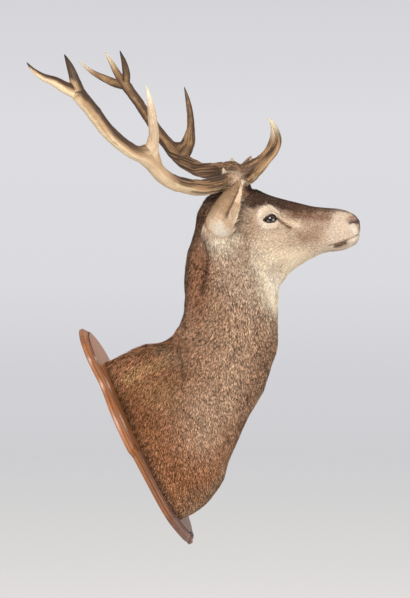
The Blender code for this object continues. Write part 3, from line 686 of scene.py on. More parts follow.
# %% Tufts from arrays
def read_grid(grid, row, column, part_row, part_column):
    """Values between the four corners of a cell, the last column joined to the first."""
    rows, sides = grid.shape[:2]
    below, after = np.minimum(row + 1, rows - 1), (column + 1) % sides
    shape = (-1,) + (1,) * (grid.ndim - 2)
    r, c = part_row.reshape(shape), part_column.reshape(shape)
    return ((grid[row, column] * (1 - c) + grid[row, after] * c) * (1 - r)
            + (grid[below, column] * (1 - c) + grid[below, after] * c) * r)


def spread_roots(grid, weight, count, rng):
    """Cells in proportion to their area times the weight, at even steps of the running total."""
    down = np.diff(grid, axis=0)
    over = np.roll(grid, -1, axis=1) - grid
    area = np.linalg.norm(np.cross(over[:-1], down), axis=-1) * weight[:-1]
    total = np.cumsum(area.ravel())
    pick = np.searchsorted(total, (np.arange(count) + rng.random(count)) / count * total[-1])
    row, column = np.divmod(np.minimum(pick, area.size - 1), grid.shape[1])
    return row, column, rng.random(count), rng.random(count)


def level(lie, normal):
    """The lie laid flat on the skin: lie - normal * (lie . normal), at length 1."""
    return unit(lie - normal * np.sum(lie * normal, axis=1, keepdims=True))


def blades(root, normal, lie, length, width, lift, rng):
    """Five points a tuft: root +- side * width, then half way, then the tip, rising by lift in all."""
    lie = level(lie, normal)
    side = np.cross(lie, normal)
    tilt = rng.normal(0.0, 0.28, len(root))[:, None]
    across = (side * np.cos(tilt) + normal * np.sin(tilt)) * width[:, None] * 0.5
    middle = root + lie * (length * 0.5)[:, None] + normal * (lift * 0.62)[:, None]
    tip = root + lie * length[:, None] + normal * lift[:, None]
    low = root - normal * 0.0008
    return np.stack([low - across, low + across, middle + across * 0.8, middle - across * 0.8, tip], axis=1)


def turn_lie(lie, normal, angle):
    """The lie turned about the normal: lie * cos + (normal x lie) * sin."""
    return lie * np.cos(angle)[:, None] + np.cross(normal, lie) * np.sin(angle)[:, None]


def coat_piece(name, tufts, colours, uvs, finish):
    """One mesh of many blades: markings on its points, and a small patch of the map for each."""
    count = len(tufts)
    first = np.arange(count)[:, None] * 5
    quads = first + np.array([[0, 1, 2, 3]])
    triangles = first + np.array([[3, 2, 4]])
    piece = array_mesh(name, tufts.reshape(-1, 3), quads, triangles)
    colour_points(piece.data, colours.reshape(-1, 3))
    layer = piece.data.uv_layers.new(name="OFBake")
    offsets = np.array([(-1, -1), (1, -1), (1, 0.2), (-1, 0.2), (0, 1)]) * 0.0015
    place = (uvs * 0.98 + 0.01)[:, None, :] + offsets
    corners = np.concatenate([place[:, (0, 1, 2, 3)].reshape(-1, 2), place[:, (3, 2, 4)].reshape(-1, 2)])
    layer.data.foreach_set("uv", np.clip(corners, 0.0005, 0.9995).astype(np.float32).ravel())
    piece.data.materials.append(finish)
    print(name, count * 3, "triangles")
    return piece


def shade_tufts(colour, root, rng, grizzle):
    """Root darker and tip lighter, each tuft its own shade and small clumps alike.

    Shade is exp(grizzle * (clump + own + fleck)), held under its top by tanh; pale hair is evenest.
    """
    count = len(root)
    brightness = colour.mean(axis=1)
    grizzle = grizzle * (1.45 - 0.85 * smooth(brightness, 0.05, 0.75))
    clump = 0.95 * noise(root, 0.0021, 31) + 0.24 * noise(root, 0.011, 37) - 0.60
    own = rng.normal(0.0, 0.60, count)
    fleck = np.where(rng.random(count) < 0.18, 0.75, 0.0) - np.where(rng.random(count) < 0.22, 0.80, 0.0)
    light = np.exp(grizzle * (1.2 * clump + own + fleck))[:, None]
    light = np.tanh(light / (2.2 * light.mean()))
    light = (1.03 - 0.12 * smooth(brightness, 0.12, 0.28))[:, None] * light / light.mean()
    warm = 1 + np.array([0.05, 0.0, -0.07]) * rng.normal(0, 1, (count, 1))
    base = np.clip(colour * light * warm + 0.035 * np.clip(light - 1, 0, 1), 0, 1)
    return np.clip(np.stack([base * 0.62, base * 0.62, base, base, base * 1.22], axis=1), 0, 1)

# %% [markdown]
# ## Finishes
# Hide, hair, antler and varnished wood share one kind of fine speckle, so it is a node group
# placed in each with its own scale and strength. Markings come from the meshes' own colours;
# the nodes add what is finer than a tuft.

# %% The speckle group
def add_node(tree, kind, inputs=None, **settings):
    """A node with its settings and the constants of its input sockets, by name or number."""
    node = tree.nodes.new("ShaderNode" + kind)
    for name, value in settings.items():
        setattr(node, name, value)
    for key, value in (inputs or {}).items():
        node.inputs[key].default_value = value
    return node


def wire(tree, *wires):
    """Links, each given as a node, its output, the next node and its input."""
    for start, way_out, end, way_in in wires:
        tree.links.new(start.outputs[way_out], end.inputs[way_in])


speckle = bpy.data.node_groups.new("speckle", "ShaderNodeTree")
for name, kind, value in (("Colour", "Color", None), ("Vector", "Vector", None), ("Scale", "Float", 300.0),
                          ("Strength", "Float", 0.3)):
    item = speckle.interface.new_socket(name=name, in_out="INPUT", socket_type="NodeSocket" + kind)
    if value is not None:
        item.default_value = value
speckle.interface.new_socket(name="Colour", in_out="OUTPUT", socket_type="NodeSocketColor")
speckle.interface.new_socket(name="Height", in_out="OUTPUT", socket_type="NodeSocketFloat")
way_in, way_out = speckle.nodes.new("NodeGroupInput"), speckle.nodes.new("NodeGroupOutput")
cloud = add_node(speckle, "TexNoise", {"Detail": 5.0, "Roughness": 0.65})
centred = add_node(speckle, "Math", {1: 0.5}, operation="SUBTRACT")
strong = add_node(speckle, "Math", {2: 1.0}, operation="MULTIPLY_ADD")
scaled = add_node(speckle, "VectorMath", operation="SCALE")
wire(speckle, (way_in, "Vector", cloud, "Vector"), (way_in, "Scale", cloud, "Scale"),
     (cloud, "Fac", centred, 0), (centred, 0, strong, 0), (way_in, "Strength", strong, 1),
     (way_in, "Colour", scaled, 0), (strong, 0, scaled, "Scale"),
     (scaled, "Vector", way_out, "Colour"), (cloud, "Fac", way_out, "Height"))

# %% Finishes built on it
def new_finish(name):
    """An empty material with its node tree and its shader."""
    finish = bpy.data.materials.new(name)
    finish.use_nodes = True
    return finish, finish.node_tree, finish.node_tree.nodes["Principled BSDF"]


def set_constants(shader, **constants):
    """Constants of the shader's sockets, written with _ for a space."""
    for name, value in constants.items():
        shader.inputs[name.replace("_", " ")].default_value = value


def marked_finish(name, roughness, specular, scale, strength, bump, distance, bare_roughness=None):
    """The mesh's markings times a speckle on Object coordinates, with the same speckle as its bump."""
    finish, tree, shader = new_finish(name)
    set_constants(shader, Roughness=roughness, Specular_IOR_Level=specular)
    place, marks = add_node(tree, "TexCoord"), add_node(tree, "Attribute", attribute_name="markings")
    group = add_node(tree, "Group", {"Scale": scale, "Strength": strength}, node_tree=speckle)
    raised = add_node(tree, "Bump", {"Strength": bump, "Distance": distance})
    wire(tree, (place, "Object", group, "Vector"), (marks, "Color", group, "Colour"),
         (group, "Colour", shader, "Base Color"), (group, "Height", raised, "Height"),
         (raised, "Normal", shader, "Normal"))
    if bare_roughness is not None:
        mask = add_node(tree, "Attribute", attribute_name="bare")
        choose = add_node(tree, "MapRange", {"To Min": roughness, "To Max": bare_roughness})
        wire(tree, (mask, "Fac", choose, "Value"), (choose, "Result", shader, "Roughness"))
    return finish


HIDE = marked_finish("hide", 0.80, 0.12, 420.0, 0.55, 0.35, 0.0012, bare_roughness=0.38)
HAIR = marked_finish("hair", 0.78, 0.05, 650.0, 0.35, 0.0, 0.0005)
EAR_HIDE = marked_finish("ear_hide", 0.78, 0.12, 300.0, 0.35, 0.3, 0.0010)
ANTLER = marked_finish("antler_bone", 0.50, 0.26, 260.0, 0.40, 0.30, 0.0009)
skin.data.materials.append(HIDE)
for ear, *_ in EARS.values():
    ear.data.materials.append(EAR_HIDE)

# %% [markdown]
# ## Laying the coat
# Hair is finest round the nose and eyes and longest on the neck. Its lie is the form's own
# long way, turned a little by slow noise so that whorls and partings show, and lifted most
# where the coat lies deepest, on the neck, with loose locks raised on the crown.

# %% The body's tufts
lie_grid = unit(-np.gradient(skin_grid, axis=0))
eye_long, eye_rise, eye_out = in_eye(folded)
from_eye = np.where(eye_out > -0.01, np.hypot(eye_long, eye_rise), 1.0)
forelock = smooth(skin_up, 0.62, 0.92) * past(skin_along, "nape", "poll")
forelock = forelock * (1 - past(skin_along, "eyes", "cheek"))
hair_length = 0.0098 - 0.0028 * past(skin_along, "nape", "brow") + 0.0020 * forelock
hair_length = hair_length - 0.0038 * past(skin_along, "cheek", "muzzle")
hair_length = hair_length + 0.0050 * smooth(skin_up, 0.75, 1.0) * (1 - past(skin_along, "poll", "eyes"))
hair_length = hair_length + 0.0030 * hill(skin_along - at_rib["throat"], 0.06) * smooth(-skin_up, 0.3, 0.9)
hair_length = hair_length * (0.45 + 0.55 * smooth(from_eye, 0.018, 0.040))
hair_weight = (1 - smooth(bare_skin(folded), 0.25, 0.6)) * (1 + 0.8 * past(skin_along, "throat", "eyes"))
DOWN_AND_BACK = unit(np.array([0.0, 0.35, -0.94]))
OFF_THE_BOARD = -0.0236   # no tuft reaches farther back than this y
REGIONS = {   # first rib, last rib, tufts on each side
    "trunk": ("board", "neck_root", 50000), "neck": ("neck_root", "neck_upper", 50000),
    "throat": ("neck_upper", "poll", 46000), "head": ("poll", "tip", 56000)}


def lay_coat(region, side_name, seed):
    """Roots by area, the lie turned by noise, and blades coloured by the markings at their roots."""
    first, last, count = REGIONS[region]
    rng = np.random.default_rng(seed)
    rows = (ALONG >= at_rib[first] - 1e-6) & (ALONG < at_rib[last] + 1e-6)
    half = (np.cos(TURN) >= 0) == (side_name == "left")
    cell = spread_roots(skin_grid, hair_weight * rows[:, None] * half, count, rng)
    root, normal = read_grid(skin_grid, *cell), unit(read_grid(skin_normal, *cell))
    lie, along = unit(read_grid(lie_grid, *cell)), read_grid(skin_along, *cell)
    angle = (cell[1] + cell[3]) / SIDES * 2 * math.pi
    up = np.sin(angle)
    face = past(along, "throat", "brow")
    neck_part = past(along, "withers", "neck_low") * (1 - face)
    lie = unit(blend(lie, DOWN_AND_BACK, 0.8 * (1 - past(along, "brisket", "neck_low"))))
    swirl = (noise(root, 0.055, 41) - 0.5) * 0.6 + (noise(root, 0.014, 43) - 0.5) * 0.45
    lie = turn_lie(level(lie, normal), normal, swirl * (1 - 0.55 * face) + rng.normal(0, 0.13, count))
    length = read_grid(hair_length, *cell) * np.exp(rng.normal(0, 0.16, count))
    width = (0.00195 - 0.00065 * face) * (0.8 + 0.4 * rng.random(count))
    lift = read_grid(coat_depth, *cell) * (0.90 + 0.22 * rng.random(count))
    lift = lift + length * 0.05 * noise(root, 0.02, 47)
    lift = lift + 0.0080 * read_grid(forelock, *cell) * np.maximum(noise(root, 0.0050, 109) - 0.45, 0)
    tufts = blades(root, normal, lie, length, width, lift, rng)
    tufts[..., 1] = np.minimum(tufts[..., 1], OFF_THE_BOARD)
    grizzle = 0.78 + 0.27 * neck_part - 0.20 * face + 0.35 * smooth(up, 0.72, 0.92)
    colours = shade_tufts(coat_colour(read_grid(folded, *cell), along, up), root, rng, grizzle)
    u = ((angle / (2 * math.pi) + 0.25) % 1.0 - (0.5 if side_name == "left" else 0.0) + 1.0) % 1.0 * 2
    u = np.where(u > 1, u - 1, u)
    v = (along - at_rib[first]) / (at_rib[last] - at_rib[first])
    return coat_piece(f"coat_{region}_{side_name}", tufts, colours, np.stack([u, v], axis=1), HAIR)


coat = []
for number, region in enumerate(REGIONS):
    for order, (side_name, _) in enumerate(BOTH_SIDES):
        coat.append(lay_coat(region, side_name, 100 + 2 * number + order))

# %% [markdown]
# The ears carry short close hair on their backs, and long cream hair that springs from the
# cup's lower half and reaches past its front edge.

# %% Hair on the ears
SHORT, LONG, FRINGE, HEM = 13000, 7000, 5000, 2600   # tufts of each kind on one ear
BACK_OF_EAR, INSIDE = 0.25, 0.75                     # where each face's middle lies on the map


def ear_roots(label, weight, count, rng):
    """Roots by the weight: place, outward way, lie, part of the ear's length and place across it."""
    _, ring, t, across, *_ = EARS[label]
    cell = spread_roots(ring, weight, count, rng)
    normal, lie = grid_normals(ring), unit(np.gradient(ring, axis=0))
    return (read_grid(ring, *cell), unit(read_grid(normal, *cell)), unit(read_grid(lie, *cell)),
            read_grid(t, *cell), read_grid(across, *cell))


def lay_ear(label, seed):
    """Short hair on the back, long hair inside, a fringe on the front edge and a hem at the root."""
    _, _, t, across, face, ahead, fore = EARS[label]
    rng = np.random.default_rng(seed)
    grown = []

    def keep(tufts, colour, root, part, over, grizzle, middle):
        """The tufts, their shades and their places on the map, for the one piece made at the end."""
        uvs = np.stack([over * 0.25 + middle, part], axis=1)
        grown.append((tufts, shade_tufts(colour, root, rng, grizzle), uvs))

    root, normal, lie, part, over = ear_roots(label, (face < 0.5) * (t < 0.985), SHORT, rng)
    lie = turn_lie(lie, normal, rng.normal(0, 0.16, SHORT) + 0.25 * over)
    length = (0.0115 - 0.0050 * part) * np.exp(rng.normal(0, 0.15, SHORT))
    keep(blades(root, normal, lie, length, 0.0011 + 0.0007 * rng.random(SHORT),
                0.0018 + 0.0010 * rng.random(SHORT), rng),
         ear_colour(part, over, np.zeros(SHORT), root, fore), root, part, over, 0.28, BACK_OF_EAR)

    wide = np.abs(across)
    weight = 0.60 + 1.2 * smooth(wide, 0.35, 0.9) * (1 - smooth(t, 0.55, 0.70))
    weight = weight * (1 - smooth(wide, 0.55, 0.75) * smooth(t, 0.60, 0.72)) * (face > 0.5) * (t < 0.93)
    root, normal, lie, part, over = ear_roots(label, weight, LONG, rng)
    lie = turn_lie(lie, normal, rng.normal(0, 0.22, LONG))
    length = (0.034 - 0.016 * part) * np.exp(rng.normal(0, 0.2, LONG))
    keep(blades(root, normal, lie, length, 0.0010 + 0.0008 * rng.random(LONG),
                length * (0.20 + 0.25 * rng.random(LONG)), rng),
         blend(tone(250, 228, 204), tone(168, 138, 110), 0.6 * (rng.random(LONG) < 0.15)),
         root, part, over, 0.60, INSIDE)

    edge = smooth(across * fore - 0.93 + 0.20 * smooth(t, 0.46, 0.60), -0.02, 0.03)
    root, _, lie, part, over = ear_roots(label, (face > 0.5) * (t > 0.42) * (t < 0.72) * edge, FRINGE, rng)
    lie = unit(lie + ahead * (0.22 * rng.random(FRINGE) * smooth(part, 0.40, 0.70))[:, None])
    length = (0.030 - 0.018 * smooth(part, 0.46, 0.72)) * (0.5 + 0.6 * rng.random(FRINGE))
    keep(blades(root, unit(ahead + 0 * lie), lie, length, 0.0013 + 0.0009 * rng.random(FRINGE),
                0.004 + 0.004 * rng.random(FRINGE), rng),
         np.tile(tone(244, 214, 184), (FRINGE, 1)), root, part, over, 0.50, INSIDE)

    root, normal, lie, part, over = ear_roots(label, (face < 0.5) * (t > 0.02) * (t < 0.17), HEM, rng)
    drop = unit((0.0, 0.30, -0.95) - 0.6 * lie + rng.normal(0, 0.14, (HEM, 3)))
    keep(blades(root, normal, drop, 0.0175 * np.exp(rng.normal(0, 0.25, HEM)),
                0.0012 + 0.0008 * rng.random(HEM), 0.0020 + 0.0030 * rng.random(HEM), rng),
         blend(tone(246, 220, 194), tone(178, 146, 120), smooth(rng.random(HEM) - 2.2 * part, 0.0, 0.5)),
         root, part, over, 0.70, BACK_OF_EAR)
    return coat_piece("coat_ear_" + label, *(np.concatenate(rows) for rows in zip(*grown)), HAIR)


coat += [lay_ear("right", 131), lay_ear("left", 137)]

# %% [markdown]
# ## Glass eyes
# A taxidermist's eye is a glass dome painted from behind: a level oval pupil, a dark brown
# iris and a darker edge. The ball is rings about the way it looks; its colour is set by the
# angle from that way, flattened for the pupil. A dark wet rim fills the join with the lids.

# %% Eyes and rims
def eye_world(long, up, out, side):
    """Places given along the eye, up and out from the ball's centre, as (x, y, z)."""
    away = long[..., None] * EYE_LONG + up[..., None] * EYE_UP + out[..., None] * EYE_OUT
    return unfold(EYE_CENTRE + away, side)


def outward_rings(rings):
    """The rings, or the rings run the other way round where their faces would point inwards."""
    centre = rings.reshape(-1, 3).mean(axis=0)
    facing = np.sum(grid_normals(rings)[1:-1] * (rings - centre)[1:-1])
    return rings if facing > 0 else rings[:, ::-1]


def glass_eye(label, side):
    """Rings about the way the eye looks, r = ball * (1 + 0.02 * hill), painted by the distance from it."""
    polar, turn = np.linspace(0.02, math.pi - 0.02, 60)[:, None], circle(72)[None, :]
    radius = EYE_BALL * (1 + 0.020 * hill(polar, 0.55))
    long, up = radius * np.sin(polar) * np.cos(turn), radius * np.sin(polar) * np.sin(turn)
    rings = outward_rings(eye_world(long, up, radius * np.cos(polar) + 0 * turn, side))
    points, quads, fans = closed_tube(rings)
    ball = array_mesh("glass_eye_" + label, points, quads, fans)
    a, b, c = in_eye(fold(points))
    pupil = 1 - smooth(np.hypot(a / 0.0078, b / 0.0050), 0.9, 1.06)
    limb = smooth(np.hypot(a, b), 0.0122, 0.0142)
    around = np.arctan2(b, a)
    ribbed = np.stack([np.cos(around) * 9, np.sin(around) * 9, np.hypot(a, b) * 150], axis=1)
    spokes = 0.75 + 0.5 * noise(ribbed, 1.0, 61)
    iris = tone(54, 36, 25) * spokes[:, None]
    colour = blend(blend(iris, tone(20, 13, 10), limb * (c > 0)), tone(6, 5, 5), pupil * (c > 0))
    colour_points(ball.data, colour)
    return ball


def lid_rim(label, side):
    """A soft cord round the almond: centre on the lid's edge, cos and sin of its own turn across it."""
    angle, turn = circle(120)[:, None], circle(12)[None, :]
    edge = almond_edge(angle)
    far, out = edge - 0.0006 + 0.0013 * np.cos(turn), lid_margin(edge) - 0.0012 + 0.0024 * np.sin(turn)
    rings = eye_world(far * np.cos(angle), far * np.sin(angle), out, side)
    rows, sides = rings.shape[:2]
    quads = tube_faces(rows + 1, sides) % (rows * sides)
    piece = array_mesh("lid_rim_" + label, rings.reshape(-1, 3), quads)
    normals = np.cross(np.roll(rings, -1, 1) - rings, np.roll(rings, -1, 0) - rings)
    if np.sum(normals * (rings - rings.mean(axis=1, keepdims=True))) < 0:
        piece.data.flip_normals()
    corner = hill(np.angle(np.exp(1j * (angle - math.pi))), 0.30) * (np.cos(turn) < -0.2)
    colour = blend(TONES["lid"] * 0.6, tone(196, 160, 140), 0.8 * corner)
    colour_points(piece.data, colour.reshape(-1, 3))
    return piece


GLASS = marked_finish("eye_glass", 0.05, 0.3, 200.0, 0.1, 0.0, 0.0005)
set_constants(GLASS.node_tree.nodes["Principled BSDF"], Coat_Weight=0.7, Coat_Roughness=0.02)
WET = marked_finish("lid_rim", 0.30, 0.5, 300.0, 0.2, 0.1, 0.0005)
eyes = {}
for label, side in BOTH_SIDES:
    eyes[label] = glass_eye(label, side)
    eyes[label].data.materials.append(GLASS)
    rim = lid_rim(label, side)
    rim.data.materials.append(WET)
    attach(rim, "root")

# %% [markdown]
# ## Antlers
# An antler is bone that grew under velvet: the blood vessels left long furrows, the base is
# rough with pearls round a knobbly burr, and the tips are rubbed to ivory. Each length is
# swept along its curve, all lengths of one side are fused on a fine grid so that the forks
# flow together, and then each point is moved by a noise stretched along its own length.

# %% Lengths of the antlers
# Rows of (sideways, forward, height, radius) in millimetres.
RIGHT_ANTLER = metres({
    "base": ((40, 598, 484, 21.5), (46, 601, 506, 23), (51, 602, 523, 32), (56, 597, 532, 29),
        (77, 578, 540, 24), (108, 543, 547, 22.2), (145, 511, 558, 21.4), (183, 484, 577, 21),
        (225, 458, 603, 20.8), (258, 443, 633, 20.8), (280, 437, 665, 20.6)),
    "upper": ((280, 437, 665, 20.6), (300, 427, 694, 19.8), (325, 407, 724, 19.3), (350, 390, 760, 19),
        (370, 378, 799, 19), (395, 371, 854, 19.4), (415, 359, 916, 20)),
    "brow": ((52, 598, 531, 16), (74, 634, 521, 17.2), (100, 671, 528, 15), (122, 711, 543, 12.6),
        (132, 740, 555, 11.2), (138, 760, 571, 9.5), (140, 770, 598, 7.5), (137, 770, 627, 5),
        (134, 764, 645, 1.5)),
    "stub": ((64, 584, 538, 12), (66, 584, 562, 9), (68, 588, 580, 1.5)),
    "trez": ((276, 441, 662, 18.5), (292, 456, 702, 15.5), (307, 477, 733, 13.8), (320, 494, 772, 12.2),
        (326, 511, 819, 8), (321, 521, 861, 1.5)),
    "crown_front": ((415, 359, 916, 20), (416, 368, 953, 14), (406, 372, 995, 8.5), (396, 372, 1027, 1.5)),
    "crown_rear": ((414, 360, 914, 16), (430, 336, 947, 15.5), (438, 321, 971, 13), (442, 300, 995, 9.5),
        (440, 285, 1023, 6), (432, 278, 1050, 1.5)),
})
LEFT_ANTLER = metres({
    "base": ((40, 601, 492, 21.5), (46, 606, 529, 23), (51, 606, 548, 32), (56, 601, 560, 29),
        (79, 580, 574, 24), (109, 547, 590, 22.2), (138, 517, 607, 21.4), (167, 496, 630, 21),
        (197, 477, 657, 20.6), (222, 463, 687, 20.4), (240, 457, 714, 19.8)),
    "upper": ((240, 457, 714, 19.8), (265, 446, 752, 18), (295, 436, 801, 16.8), (320, 429, 846, 15.8),
        (345, 421, 896, 15.2), (362, 413, 938, 16)),
    "brow": ((52, 604, 553, 16), (69, 650, 550, 16.5), (90, 687, 555, 14.5), (106, 721, 570, 12),
        (115, 745, 594, 10), (118, 757, 618, 7), (117, 760, 644, 1.5)),
    "stub": ((57, 602, 563, 11), (58, 610, 583, 8), (62, 616, 600, 1.5)),
    "trez": ((203, 476, 667, 18.5), (211, 498, 682, 16), (224, 516, 700, 14.2), (242, 534, 733, 12.5),
        (257, 551, 772, 10.5), (268, 564, 815, 7.5), (272, 574, 859, 1.5)),
    "crown_middle": ((362, 413, 938, 16), (370, 404, 988, 11.8), (368, 402, 1038, 7.2),
        (363, 399, 1074, 1.5)),
    "crown_rear": ((364, 408, 949, 11), (377, 385, 973, 13), (388, 359, 1004, 11), (395, 332, 1043, 7),
        (395, 312, 1089, 1.5)),
    "crown_front": ((362, 413, 952, 10), (352, 427, 977, 11.8), (338, 440, 1014, 8.5),
        (328, 446, 1052, 1.5)),
})
WEBS = metres({   # short fillings of the forks
    "right": (((322, 410, 722, 11), (308, 430, 710, 16.5), (299, 452, 709, 17.5), (303, 468, 728, 13),
        (312, 484, 750, 9)),
        ((408, 364, 895, 18.5), (415, 359, 920, 19.5), (418, 357, 938, 15))),
    "left": (((250, 453, 728, 11), (234, 474, 707, 15.5), (224, 494, 698, 16.5), (230, 512, 714, 12),
        (240, 528, 734, 8.5)),
        ((356, 416, 922, 15), (362, 412, 945, 16.5), (366, 408, 962, 13))),
})
VOXEL, EASE_STEPS = 0.00158, 9   # the fine grid, and how often the fused surface is eased


def sweep(points, step=0.004, sides=28):
    """Rings round a smooth curve, each square to its way: centre + radius * (first cos a + second sin a)."""
    along = np.concatenate([[0.0], np.cumsum(np.linalg.norm(np.diff(points[:, :3], axis=0), axis=1))])
    run = np.linspace(0.0, along[-1], max(8, int(along[-1] / step)))
    rows = read_between(along, points, run)
    centre = rows[:, :3] * np.array([1.0, -1.0, 1.0])
    way = unit(np.gradient(centre, axis=0))
    first = unit(np.cross(way, (0.3, 0.5, 0.81)))
    second = np.cross(way, first)
    turn = circle(sides)[None, :, None]
    rim = first[:, None] * np.cos(turn) + second[:, None] * np.sin(turn)
    return centre[:, None] + rows[:, 3, None, None] * rim, centre, first, second, rows[:, 3], run


def read_vertices(mesh, what):
    """The places or normals of a mesh's vertices, as rows of three."""
    values = np.empty(len(mesh.vertices) * 3, dtype=np.float32)
    mesh.vertices.foreach_get(what, values)
    return values.reshape(-1, 3).astype(float)


def one_antler(label, side, lengths):
    """All lengths of one side swept, fused on the grid, eased and dressed: one mesh."""
    swept = {name: sweep(np.array(rows) * (side, 1, 1, 1)) for name, rows in lengths.items()}
    webs = [sweep(web * (side, 1, 1, 1)) for web in WEBS[label]]
    tubes = [closed_tube(rings) for rings, *_ in [*swept.values(), *webs]]
    starts = np.cumsum([0] + [len(points) for points, _, _ in tubes])
    rough = array_mesh("antler_rough", np.vstack([points for points, _, _ in tubes]),
                       np.vstack([quads + start for (_, quads, _), start in zip(tubes, starts)]),
                       np.vstack([fans + start for (_, _, fans), start in zip(tubes, starts)]))
    fuse = rough.modifiers.new("fuse", "REMESH")
    fuse.mode, fuse.voxel_size, fuse.use_smooth_shade = "VOXEL", VOXEL, True
    ease = rough.modifiers.new("ease", "SMOOTH")
    ease.factor, ease.iterations = 0.5, EASE_STEPS
    bpy.context.view_layer.update()
    held = rough.evaluated_get(bpy.context.evaluated_depsgraph_get())
    mesh = bpy.data.meshes.new_from_object(held)
    bpy.data.objects.remove(rough, do_unlink=True)
    moved, colours = dress_antler(read_vertices(mesh, "co"), read_vertices(mesh, "normal"), swept, side)
    mesh.vertices.foreach_set("co", moved.astype(np.float32).ravel())
    mesh.update()
    mesh.shade_smooth()
    colour_points(mesh, colours)
    mesh.materials.clear()
    mesh.materials.append(ANTLER)
    mesh.calc_loop_triangles()
    print("antler", label, len(mesh.loop_triangles), "triangles")
    return new_object("antler_" + label, mesh)


def nearest_on(places, swept):
    """For each point: the closest centre of any length, with its frame, radius and run.

    Then the run at that length's end, and the length's number.
    """
    tables = [table[1:] for table in swept.values()]
    stacks = [np.concatenate(column) for column in zip(*tables)]
    ends = np.concatenate([np.full(len(run), run[-1]) for *_, run in tables])
    kind = np.concatenate([np.full(len(run), number) for number, (*_, run) in enumerate(tables)])
    chosen = np.concatenate([   # in batches, so that the distances fit in memory
        np.argmin(np.linalg.norm(batch[:, None] - stacks[0], axis=2) - stacks[3], axis=1)
        for batch in np.array_split(places, len(places) // 8000 + 1)])
    return [stack[chosen] for stack in stacks], ends[chosen], kind[chosen]


